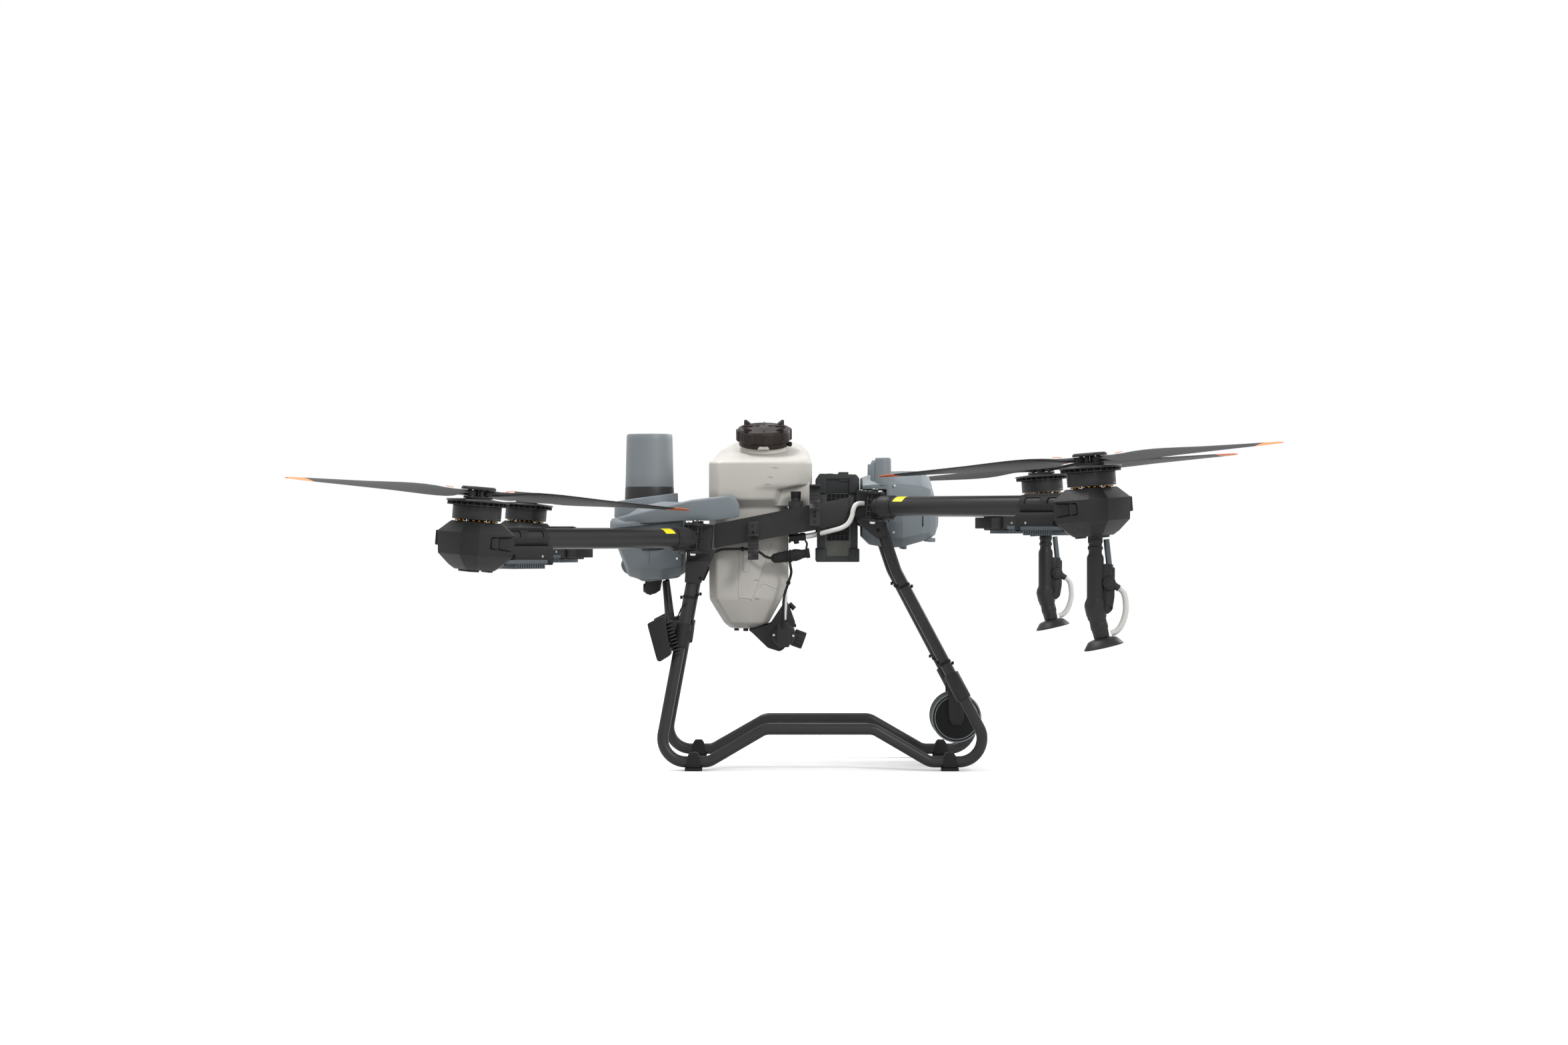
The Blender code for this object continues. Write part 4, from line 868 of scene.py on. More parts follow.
def smooth_line(corners):
    """A flat line with its corners eased, from (x, z) points."""
    return [p.xz for p in smooth_route([(x, 0.0, z) for x, z in corners], LINE_STEPS)]


def tank_look():
    """Spray tank with its ridges, level marks, seam and filler neck."""
    lean = tan(FILLER_TILT)
    rings = [tank_ring(0.339, -0.132, -0.066, 0.068, 0.022), tank_ring(0.352, -0.147, -0.038, 0.092,
        0.026), tank_ring(0.412, -0.183, -0.0055, 0.116, 0.03),
        tank_ring(0.455, -0.184, 0.011, 0.118, 0.03), tank_ring(0.636, -0.184, 0.011, 0.118, 0.03),
        tank_ring(0.657, -0.184, -0.003, 0.149, 0.036), tank_ring(0.68, -0.184, 0.002, 0.153,
        0.036), tank_ring(0.692, -0.184, 0.069, 0.153, 0.038),
        tank_ring(0.748, -0.184, 0.069, 0.153, 0.038), tank_ring(0.765, -0.164, 0.062, 0.14, 0.034,
        0.4 * lean), tank_ring(0.7775, -0.124, 0.041, 0.09, 0.034, lean),]
    body = make("tank_body", loft(rings), "tank_milk", "tank", AIRFRAME, 0.0055, 4, 9)
    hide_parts("spray_tank")
    shoulder = rounded([(-0.03, 0.64), (0.064, 0.64), (0.064, 0.7), (-0.03, 0.7)], 0.004)
    make("tank_shoulder", side_prism(shoulder, -0.118, 0.118), "tank_milk", "tank", AIRFRAME, 0.004,
        3)
    lines = [[(-0.1097, 0.55), (-0.1097, 0.423), (-0.105, 0.4172), (-0.081, 0.414), (-0.075, 0.418),
        (-0.0287, 0.55)], [(-0.0997, 0.55), (-0.0997, 0.49), (-0.093, 0.479), (-0.084, 0.49),
        (-0.069, 0.55)], [(-0.0592, 0.4408), (-0.0491, 0.451), (-0.0152, 0.4408), (0.003, 0.478)]]
    ridges = [tube([(x, s * (tank_side(x, z) - 0.0006), z) for x, z in smooth_line(line)], 0.0019,
        10) for s in (-1, 1) for line in lines]
    make("tank_ridges", total(ridges), "tank_milk", "tank", AIRFRAME)
    ribs = []
    for s in (-1, 1):
        for x, width, z, y in ((-0.03, 0.014, 0.735, 0.1512), (-0.04, 0.013, 0.712, 0.1532),
                (-0.045, 0.012, 0.695, 0.154), (-0.074, 0.012, 0.46, 0.119),
                (-0.07, 0.011, 0.415, 0.117)):
            ribs.append(block((x, s * (y - 0.01), z - 0.0009), (x + width, s * y, z + 0.0009)))
    make("tank_level_marks", total(ribs), "tank_milk", "tank", AIRFRAME, 0.0003)
    seam = block((-0.1845, -0.0012, 0.43), (-0.1805, 0.0012, 0.75))
    make("tank_seam", seam, "tank_milk", "tank", AIRFRAME, 0.0004)
    filler = Matrix.Translation((-0.0497, -0.03, 0.8235)) @ Matrix.Rotation(FILLER_TILT, 4, "X")
    neck = turned([(0.059, -0.07), (0.0585, -0.044), (0.06, -0.043), (0.06, -0.039),
        (0.057, -0.038), (0.057, -0.0322)], 72)
    make("tank_neck", neck, "tank_milk", "tank", AIRFRAME @ filler, 0.0006)
    cap_look(AIRFRAME @ filler)


def cap_look(place):
    """The lobed filler cap."""
    lobes, steps = 8, 12
    rings = []
    for z, swell in ((-0.019, 0.97), (-0.0175, 1.0), (0.006, 1.0), (0.0085, 0.985)):
        ring = []
        for i in range(lobes * steps):
            phase = (i % steps) / steps
            radius = 0.0655 + (0.0038 if phase < 0.45 else 0.0)
            t = 2 * pi * i / (lobes * steps)
            ring.append((radius * swell * cos(t), radius * swell * sin(t), z))
        rings.append(ring)
    skirt = make("cap_skirt", loft(rings), "cap_black", "cap", place, 0.0008)
    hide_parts("tank_cap")
    top = turned([(0.064, 0.004), (0.064, 0.0095), (0.062, 0.0115), (0.054, 0.0125), (0.053, 0.011),
        (0.038, 0.015), (0.036, 0.0138), (0.023, 0.0172), (0.0215, 0.016), (0.01, 0.017)], 72)
    make("cap_top", top, "cap_black", "cap", place, 0.0003)
    grips = []
    for k in range(4):
        outline = [(0.033, 0.012), (0.048, 0.015), (0.06, 0.0205), (0.0665, 0.0225), (0.068, 0.019),
            (0.068, -0.01), (0.063, -0.01)]
        lug = side_prism(rounded(outline, 0.0015, 2), -0.003, 0.003)
        grips.append(lug.at(Matrix.Rotation(pi / 2 * k + pi / 4, 4, "Z")))
        rib = side_prism([(0.01, 0.014), (0.01, 0.0185), (0.05, 0.017), (0.056, 0.012)], -0.0013,
            0.0013)
        grips.append(rib.at(Matrix.Rotation(pi / 2 * k, 4, "Z")))
    make("cap_grips", total(grips), "cap_black", "cap", place, 0.0008)
    collar = turned([(0.0612, -0.0312), (0.062, -0.0305), (0.062, -0.02), (0.0612, -0.0193)], 72)
    make("cap_collar", collar, "cap_black", "cap", place, 0.0003)
    window = side_prism(rounded([(-0.016, -0.03), (0.014, -0.03), (0.01, -0.0225),
        (-0.011, -0.0225)], 0.0015), -0.064, -0.059)
    make("cap_window", window, "tank_milk", "cap", place, 0.0004)
    knob = rod((0.06, -0.016, -0.026), (0.0685, -0.019, -0.026), 0.006, 24, None, 0.0015)
    make("cap_vent", knob, "core_black", "cap", place)


def pump_look():
    """Pump bracket, both pump heads and the filter knob."""
    body = "tank"
    plate = [(-0.088, 0.3352), (-0.078, 0.3275), (-0.04, 0.2907), (-0.012, 0.2819), (-0.004, 0.285),
        (0.006, 0.295), (0.0277, 0.352), (0.011, 0.398), (0.004, 0.405), (-0.033, 0.35)]
    shape = side_prism(rounded(plate, 0.003, 3), -0.067, 0.067)
    piece = make("pump_bracket", shape, "pump_black", body, AIRFRAME, 0.0012)
    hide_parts("pump_housing")
    heads = []
    for s in (-1, 1):
        spin = Matrix.Rotation(-s * pi / 2, 4, "X")
        head = turned([(0.0285, 0.06), (0.0285, 0.102), (0.0272, 0.105), (0.023, 0.107)], 56)
        heads.append(head.at(spin, (-0.001, 0, 0.3238)))
        outline = rounded([(-0.0145, 0.2945), (0.013, 0.2945), (0.0155, 0.316), (0.013, 0.348),
            (0.009, 0.356), (-0.013, 0.356), (-0.0165, 0.348), (-0.0175, 0.316)], 0.004)
        heads.append(side_prism(outline, s * 0.104, s * 0.1235))
        for a in range(6):
            t = radians(60 * a + 15)
            peg = rod((-0.001 + 0.0255 * cos(t), s * 0.1, 0.3238 + 0.0255 * sin(t)),
                (-0.001 + 0.0255 * cos(t), s * 0.1075, 0.3238 + 0.0255 * sin(t)), 0.0022, 12)
            heads.append(peg)
    make("pump_heads", total(heads), "pump_black", body, AIRFRAME, 0.001, 2)
    screws = [side_screw(s, x, 0.1062, z, 0.003, 0.002) for s in (-1, 1) for x,
        z in ((-0.0245, 0.3238), (0.0225, 0.322))]
    make("pump_screws", total(screws), "latch_steel", body, AIRFRAME)
    bosses = [rod((x, y, z), (x, y, z - 0.009), 0.006, 16) for x, y,
        z in ((-0.118, 0.0, 0.34), (-0.095, -0.035, 0.34), (-0.095, 0.035, 0.34))]
    bosses.append(rod((0.013, 0, 0.398), (0.026, 0, 0.385), 0.006, 16))
    for k in range(5):
        x, z = 0.015 + 0.003 * k, 0.378 - 0.0085 * k
        bosses.append(rod((x, -0.045, z), (x, 0.045, z), 0.0035, 12))
    make("pump_bosses", total(bosses), "pump_black", body, AIRFRAME, 0.0006)
    axis = Vector((cos(radians(20)), 0, -sin(radians(20))))
    centre = Vector((0.0356, -0.03, 0.3113))
    neck = rod(centre - axis * 0.036, centre - axis * 0.0145, 0.0178, 32, None, 0.001)
    make("filter_neck", neck, "pump_black", body, AIRFRAME)
    rings = []
    for z, swell in ((-0.0138, 0.94), (-0.0125, 1.0), (0.012, 1.0), (0.0148, 0.93)):
        ring = []
        for i in range(96):
            radius = (0.0213 if i % 6 < 3 else 0.0199) * swell
            ring.append((radius * cos(2 * pi * i / 96), radius * sin(2 * pi * i / 96), z))
        rings.append(ring)
    cap = loft(rings).at(aim(axis), centre)
    piece = make("filter_knob", cap, "pump_black", "filter", AIRFRAME, 0.0003)
    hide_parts("filter_cap")


# ---------------------------------------------------------------- battery
def battery_look():
    """Battery with its cap, guards and vents."""
    body = "battery_pack"
    case = block((0.086, -0.103, 0.508), (0.178, 0.103, 0.7))
    piece = make("battery_case", case, "battery_olive", body, AIRFRAME, 0.0025, 3)
    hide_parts("battery")
    top = side_prism(rounded([(0.079, 0.672), (0.079, 0.708), (0.087, 0.72), (0.177, 0.718),
        (0.185, 0.708), (0.185, 0.672)], 0.003, 3), -0.11, 0.11)
    cuts = [side_prism([(0.104, 0.65), (0.16, 0.65), (0.16, 0.707), (0.104, 0.707)], s0, s1) for s0,
        s1 in ((-0.12, -0.104), (0.104, 0.12))]
    make("battery_cap", top, "battery_black", body, AIRFRAME, 0.0015, 2, 32, cuts)
    lid = [block((0.105, -0.095, 0.716), (0.121, 0.095, 0.7205)),
        block((0.135, -0.072, 0.716), (0.159, 0.072, 0.7245))]
    latch = [mirror_pair(block((0.134, 0.1035, 0.701), (0.16, 0.107, 0.717)))]
    make("battery_lid", total(lid + latch), "battery_black", body, AIRFRAME, 0.0012)
    guards = []
    for x0, x1 in ((0.079, 0.104), (0.16, 0.185)):
        guards.append(mirror_pair(block((x0, 0.085, 0.503), (x1, 0.11, 0.536))))
        guards.append(mirror_pair(block((x0 + 0.004, 0.092, 0.534), (x1 - 0.004, 0.1055, 0.674))))
    guards.append(block((0.085, -0.108, 0.503), (0.179, 0.108, 0.516)))
    make("battery_guards", total(guards), "battery_black", body, AIRFRAME, 0.0022, 2)
    vents = ((0.556, 0.592), (0.636, 0.67))
    backs = [mirror_pair(block((0.106, 0.102, low), (0.158, 0.1034, high))) for low, high in vents]
    make("battery_vents", total(backs), "core_black", body, AIRFRAME)
    bars = []
    for low, high in vents:
        for k in range(6):
            x = 0.105 + 0.0106 * k
            bars.append(mirror_pair(block((x, 0.103, low), (x + 0.0018, 0.1052, high))))
        for k in range(4):
            z = low + (high - low) * k / 3
            bars.append(mirror_pair(block((0.105, 0.103, z - 0.0009),
                (0.1598, 0.1052, z + 0.0009))))
    make("battery_lattice", total(bars), "battery_black", body, AIRFRAME, 0.0003)


# ---------------------------------------------------------------- airframe
def rail_look(side_name):
    """A side beam with its arm clips, tank lock and seams."""
    side = SIDES[side_name]
    refine(f"{side_name}_rail", 0.0014)
    screws = [side_screw(side, x, 0.1793, z, 0.0038, 0.0018) for x,
        z in ((-0.075, 0.593), (0.075, 0.601), (0.075, 0.624))]
    fixed(f"{side_name}_rail_screws", total(screws), "frame_black")
    ribs = []
    for x, low, high in ((-0.075, 0.522, 0.601), (0.075, 0.593, 0.688)):
        for offset in (-0.012, 0.01):
            ribs.append(block((x + offset, side * 0.1785, low + 0.04),
                (x + offset + 0.002, side * 0.1806, high)))
    fixed(f"{side_name}_clip_ribs", total(ribs), "frame_black", 0.0004)
    clips = []
    for x, low, high, middle in ((-0.075, 0.521, 0.6022, 0.5405), (0.075, 0.592, 0.6902, 0.6615)):
        clips.append(block((x - 0.0132, side * 0.162, low - 0.0002),
            (x + 0.0132, side * 0.1792, high + 0.0002)))
        ring = [(0.0317 * cos(radians(t)), 0.0317 * sin(radians(t))) for t in range(100, 261, 10)]
        ring += [(0.0273 * cos(radians(t)), 0.0273 * sin(radians(t))) for t in range(260, 99, -10)]
        clips.append(cross_prism([(side * (0.2074 + y), middle + z) for y, z in ring], x - 0.0132,
            x + 0.0132))
    fixed(f"{side_name}_clips", total(clips), "tube_grey", 0.001)
    eyes = [rod((x, side * 0.178, z), (x, side * 0.1796, z), 0.004, 24) for x,
        z in ((-0.075, 0.576), (0.075, 0.615))]
    fixed(f"{side_name}_clip_eyes", total(eyes), "core_black")
    lock = [block((0.008, side * LOCK_Y - 0.0135, 0.628), (0.05, side * LOCK_Y + 0.0135, 0.633)),
        block((0.014, side * LOCK_Y - 0.0145, 0.635), (0.018, side * LOCK_Y + 0.0145, 0.65)),
        block((0.04, side * LOCK_Y - 0.0145, 0.635), (0.044, side * LOCK_Y + 0.0145, 0.65))]
    fixed(f"{side_name}_tank_lock", total(lock), "frame_black", 0.0008)
    knob = turned([(0.008, 0.654), (0.0118, 0.66), (0.0125, 0.67), (0.0125, 0.6745),
        (0.0118, 0.6755)], 40)
    fixed(f"{side_name}_lock_knob", knob.at((0.029, side * LOCK_Y, 0)), "core_black")
    seams = []
    for x in (-0.166, 0.158):
        z = 0.568 + (x + 0.17) * 0.182
        seams.append(block((x, side * 0.127, z - 0.028), (x + 0.0007, side * 0.1629, z + 0.0295)))
    fixed(f"{side_name}_rail_seams", total(seams), "core_black")


def frame_look(end):
    """A cross casting with its hinge bolts and socket screws."""
    front = -1 if end == "front" else 1
    refine(f"{end}_frame", 0.0012)
    height = 0.562 if front < 0 else 0.639
    bolts = []
    for s in (-1, 1):
        hub = (front * 0.217, s * 0.2, height)
        nut = turned([(0.0078, 0.0362), (0.0078, 0.04), (0.006, 0.0425), (0.003, 0.043)], 24)
        bolts.append(nut.at(HINGE_LEAN, hub))
        bolts.append(nut.at(Matrix.Rotation(pi, 4, "X"), HINGE_LEAN, hub))
        for dx, dy in ((0.031, -0.04), (-0.018, -0.04)):
            spot = turned([(0.003, 0.036), (0.003, 0.0378), (0.002, 0.0384)], 16)
            bolts.append(spot.at((-front * dx, s * dy, 0), HINGE_LEAN, hub))
    fixed(f"{end}_hinge_bolts", total(bolts), "latch_steel", 0.0002)
    x, z = (-0.203, 0.465) if front < 0 else (0.229, 0.581)
    y = 0.1829 if front < 0 else 0.1714
    screws = [side_screw(s, x, y, z, 0.0042, 0.002) for s in (-1, 1)]
    fixed(f"{end}_socket_screws", total(screws), "core_black")


def rear_shell_look():
    """Tail cover with its posts, sensor covers and feet."""
    stations = [(0.192, [(0.566, 0.11), (0.58, 0.128), (0.6, 0.128), (0.665, 0.15), (0.69, 0.152),
        (0.711, 0.11)]), (0.213, [(0.545, 0.105), (0.565, 0.128), (0.6, 0.128), (0.665, 0.164),
        (0.692, 0.166), (0.717, 0.115)]), (0.256, [(0.538, 0.105), (0.56, 0.129), (0.6, 0.13),
        (0.665, 0.166), (0.696, 0.167), (0.725, 0.118)]),
        (0.29, [(0.54, 0.105), (0.562, 0.136), (0.6, 0.142), (0.66, 0.15), (0.694, 0.148),
        (0.726, 0.112)]), (0.336, [(0.553, 0.1), (0.572, 0.128), (0.6, 0.132), (0.655, 0.134),
        (0.69, 0.128), (0.726, 0.095)]), (0.358, [(0.56, 0.092), (0.576, 0.114), (0.602, 0.118),
        (0.65, 0.118), (0.682, 0.11), (0.711, 0.08)]),
        (0.372, [(0.57, 0.078), (0.582, 0.098), (0.604, 0.102), (0.634, 0.1), (0.65, 0.094),
        (0.66, 0.075)]), (0.38, [(0.592, 0.062), (0.598, 0.076), (0.605, 0.08), (0.612, 0.08),
        (0.616, 0.074), (0.618, 0.062)]),]
    hull = loft([body_section(x, levels) for x, levels in stations])
    cuts = [block((0.18, -0.2, 0.5985), (0.2495, 0.2, 0.681))]
    piece = fixed("tail_hull", hull, "shell_grey", 0.0045, 3, 14, cuts)
    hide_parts("rear_shell")
    posts = turned([(0.0212, 0.69), (0.0206, 0.7), (0.0196, 0.752), (0.0188, 0.7565),
        (0.017, 0.758)], 56)
    small = turned([(0.012, 0.69), (0.0112, 0.745), (0.01, 0.748)], 32)
    fixed("tail_posts", mirror_pair(posts.at((0.2414, 0.1475, 0)) + small.at((0.223, 0.14, 0))),
        "shell_grey", 0.0006)
    covers = rounded([(0.285, 0.656), (0.32, 0.664), (0.334, 0.656), (0.334, 0.64), (0.285, 0.634)],
        0.006)
    fixed("tail_sensor_covers", mirror_pair(side_prism(covers, 0.128, 0.15)), "tube_grey", 0.004, 3)
    feet = [mirror_pair(block((0.352, 0.07, 0.552), (0.372, 0.095, 0.562))),
        mirror_pair(rod((0.296, 0.08, 0.548), (0.296, 0.08, 0.534), 0.006, 20))]
    fixed("tail_feet", total(feet), "shell_grey", 0.002)
    fixed("tail_seams", block((0.34, -0.1335, 0.59), (0.3407, 0.1335, 0.656)), "core_black")
    screws = [side_screw(s, x, y, z, 0.003) for s in (-1, 1) for x, y,
        z in ((0.268, 0.131, 0.576), (0.269, 0.166, 0.69))]
    fixed("tail_screws", total(screws), "latch_steel")


# ---------------------------------------------------------------- landing gear
SKID_Y, SKID_Z = 0.215, 0.0211
LEG_SPLAY = 0.115
KNEE_X, KNEE_Z = 0.273, 0.4816


def leg_y(side, z):
    """How far out the landing gear stands at a height."""
    return side * (SKID_Y - (z - SKID_Z) * LEG_SPLAY)


def leg_point(front, side, z):
    """The middle of a leg at a height; the rear leg has a knee."""
    if front < 0:
        x = -0.2246 - (0.4524 - z) * 0.1868
    elif z > KNEE_Z:
        x = KNEE_X - (z - KNEE_Z) * 0.3374
    else:
        x = KNEE_X + (KNEE_Z - z) * 0.5288
    return Vector((x, leg_y(side, z), z))


def fillet(previous, corner, following, radius, steps):
    """Points on the arc that rounds a corner."""
    a = (Vector(previous) - Vector(corner)).normalized()
    b = (Vector(following) - Vector(corner)).normalized()
    half = a.angle(b) / 2
    start = Vector(corner) + a * radius / tan(half)
    end = Vector(corner) + b * radius / tan(half)
    centre = Vector(corner) + (a + b).normalized() * radius / sin(half)
    return [centre + (start.lerp(end, i / steps) - centre).normalized() * radius
        for i in range(steps + 1)]


def gear_look(side_name):
    """One bent landing gear tube with its clips and feet."""
    side = SIDES[side_name]
    low, high = SKID_Z, 0.0994
    front_top, rear_top = leg_point(-1, 1, 0.49), leg_point(1, 1, 0.59)
    corners = [((front_top.x, 0.49), 0, 0), ((leg_point(-1, 1, low).x, low), 0.0565, 20),
        ((-0.1823, low), 0.04, 8), ((-0.0467, high), 0.04, 8), ((0.2174, high), 0.04, 8),
        ((0.353, low), 0.04, 8), ((leg_point(1, 1, low).x, low), 0.0565, 20),
        ((leg_point(1, 1, KNEE_Z).x, KNEE_Z), 0.12, 6), ((rear_top.x, 0.59), 0, 0),]
    path = [Vector(corners[0][0])]
    for before, (corner, radius, steps), after in zip(corners, corners[1:], corners[2:]):
        path += fillet(before[0], corner, after[0], radius, steps)
    path.append(Vector(corners[-1][0]))
    points = [(x, leg_y(side, z), z) for x, z in path]
    piece = fixed(f"{side_name}_gear_tube", tube(points, 0.01375, 36), "tube_grey")
    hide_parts(f"{side_name}_skid")
    rings = []
    for front, z in ((-1, 0.415), (1, 0.442), (1, 0.256)):
        a, b = leg_point(front, side, z), leg_point(front, side, z + 0.006)
        rings.append(rod(a, b, 0.0153, 32))
        for s in (-1, 1):
            ear = a.lerp(b, 0.5) + Vector((s * 0.0185, 0, 0))
            rings.append(rod(ear - Vector((0.003 * s, 0, 0)), ear + Vector((0.003 * s, 0, 0)),
                0.004, 16))
    fixed(f"{side_name}_gear_clips", total(rings), "core_black", 0.0006)
    for end, x in (("front", -0.2186), ("rear", 0.401)):
        foot_look(end, side_name, (x, side * SKID_Y, SKID_Z))


def foot_look(end, side_name, centre):
    """A rubber saddle and its pad."""
    saddle = [(-0.0085, 0.0232), (0.0085, 0.0232), (0.014, 0.015), (0.0165, -0.002),
        (0.018, -0.012), (-0.018, -0.012), (-0.0165, -0.002), (-0.014, 0.015)]
    clamp = side_prism(rounded(saddle, 0.002, 2), -0.0155, 0.0155)
    bore = rod((-0.05, 0, 0), (0.05, 0, 0), 0.01395, 40)
    piece = make(f"{end}_{side_name}_saddle", clamp, "rubber_black", "root",
        AIRFRAME @ Matrix.Translation(centre), 0.0008, 2, 32, [bore])
    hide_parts(f"{end}_{side_name}_foot")
    pad = flat_prism(rounded([(-0.021, -0.017), (0.021, -0.017), (0.021, 0.017), (-0.021, 0.017)],
        0.003), -SKID_Z, -0.0142)
    make(f"{end}_{side_name}_pad", pad, "rubber_black", "root",
        AIRFRAME @ Matrix.Translation(centre), 0.0008)


def spotlight_look(side_name):
    """A finned spotlight with its plate, clamp, stay and lead."""
    side = SIDES[side_name]
    name = f"{side_name}_spotlight"
    bounds = sorted((side * 0.1495, side * 0.2145))
    outline = [(-0.3308, 0.3545), (-0.296, 0.372), (-0.288, 0.37), (-0.2735, 0.281),
        (-0.279, 0.276), (-0.3004, 0.263), (-0.307, 0.266)]
    lamp = side_prism(rounded(outline, 0.002, 2), *bounds)
    piece = fixed(f"{name}_housing", lamp, "light_black", 0.0016, 2)
    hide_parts(name)
    direction = (Vector((-0.3004, 0.2625)) - Vector((-0.3308, 0.3545))).normalized()
    back = Vector((-direction.y, direction.x))
    fins = []
    for k in range(10):
        c = Vector((-0.2925, 0.36)) + direction * (0.006 + 0.0086 * k) + back * -0.001
        a, b = c + back * 0.004, c + back * 0.02
        wide = direction * 0.0017
        fins.append(side_prism([(a - wide)[:], (a + wide)[:], (b + wide)[:], (b - wide)[:]],
            bounds[0] + 0.003, bounds[1] - 0.003))
    fixed(f"{name}_fins", total(fins), "tube_grey", 0.0004)
    a, b = Vector((-0.3308, 0.3545)), Vector((-0.307, 0.266))
    a, b = a.lerp(b, 0.08), a.lerp(b, 0.92)
    out = Vector((direction.y, -direction.x)) * 0.0006
    glass = side_prism([(a + out)[:], (b + out)[:], (b - out * 3)[:], (a - out * 3)[:]],
        bounds[0] + 0.006, bounds[1] - 0.006)
    fixed(f"{name}_glass", glass, "lens_glass", 0.0003)
    plate = side_prism(rounded([(-0.296, 0.356), (-0.268, 0.362), (-0.24, 0.359), (-0.229, 0.352),
        (-0.228, 0.333), (-0.234, 0.294), (-0.26, 0.291), (-0.286, 0.3)], 0.003, 3), side * 0.1765,
        side * 0.1855)
    sleeve = rod(leg_point(-1, side, 0.298), leg_point(-1, side, 0.354), 0.0183, 40, None, 0.001)
    bore = rod(leg_point(-1, side, 0.28), leg_point(-1, side, 0.37), 0.0139, 40)
    fixed(f"{name}_plate", plate, "frame_black", 0.001, 2, 32, [bore])
    fixed(f"{name}_clamp", sleeve, "light_black", 0, 2, 32, [bore])
    stay = rod((-0.282, side * 0.16, 0.345), (-0.2937, side * 0.0812, 0.455), 0.006, 8)
    fixed(f"{name}_stay", stay, "tube_grey", 0.001)
    screws = [side_screw(side, x, 0.1855, z, 0.0028) for x, z in ((-0.289, 0.35), (-0.279, 0.306),
        (-0.242, 0.348), (-0.24, 0.302))]
    fixed(f"{name}_screws", total(screws), "latch_steel")
    cable = smooth_route([(-0.27, side * 0.17, 0.356), (-0.258, side * 0.172, 0.372),
        (-0.25, side * 0.176, 0.39), (-0.2385, side * 0.189, 0.404)])
    fixed(f"{name}_lead", tube(cable, 0.0016, 12), "rubber_black")


def rear_radar_look():
    """The drum radar on the rear legs and its bracket."""
    axis = Matrix.Rotation(pi / 2, 4, "X")
    centre = (0.4259, 0, 0.1176)
    drum = turned([(0.056, -0.06), (0.06, -0.059), (0.062, -0.056), (0.062, 0.056), (0.06, 0.059),
        (0.056, 0.06)], 96).at(axis, centre)
    piece = fixed("tail_radar_drum", drum, "core_black", 0.0003)
    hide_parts("rear_radar")
    rim = [(0.052, 0.0603), (0.0615, 0.059), (0.0621, 0.048), (0.061, 0.048), (0.052, 0.059)]
    rims = [washer([(r, s * z) for r, z in rim], 96).at(axis, centre) for s in (-1, 1)]
    fixed("tail_radar_rims", total(rims), "radar_grey")
    bosses = []
    for s in (-1, 1):
        for k in range(8):
            x, y = 0.054 * cos(2 * pi * k / 8), 0.054 * sin(2 * pi * k / 8)
            bosses.append(rod((x, y, s * 0.0585), (x, y, s * 0.06), 0.0035, 16).at(axis, centre))
    fixed("tail_radar_bosses", total(bosses), "pump_black")
    refine("rear_radar_bracket", 0.0012)


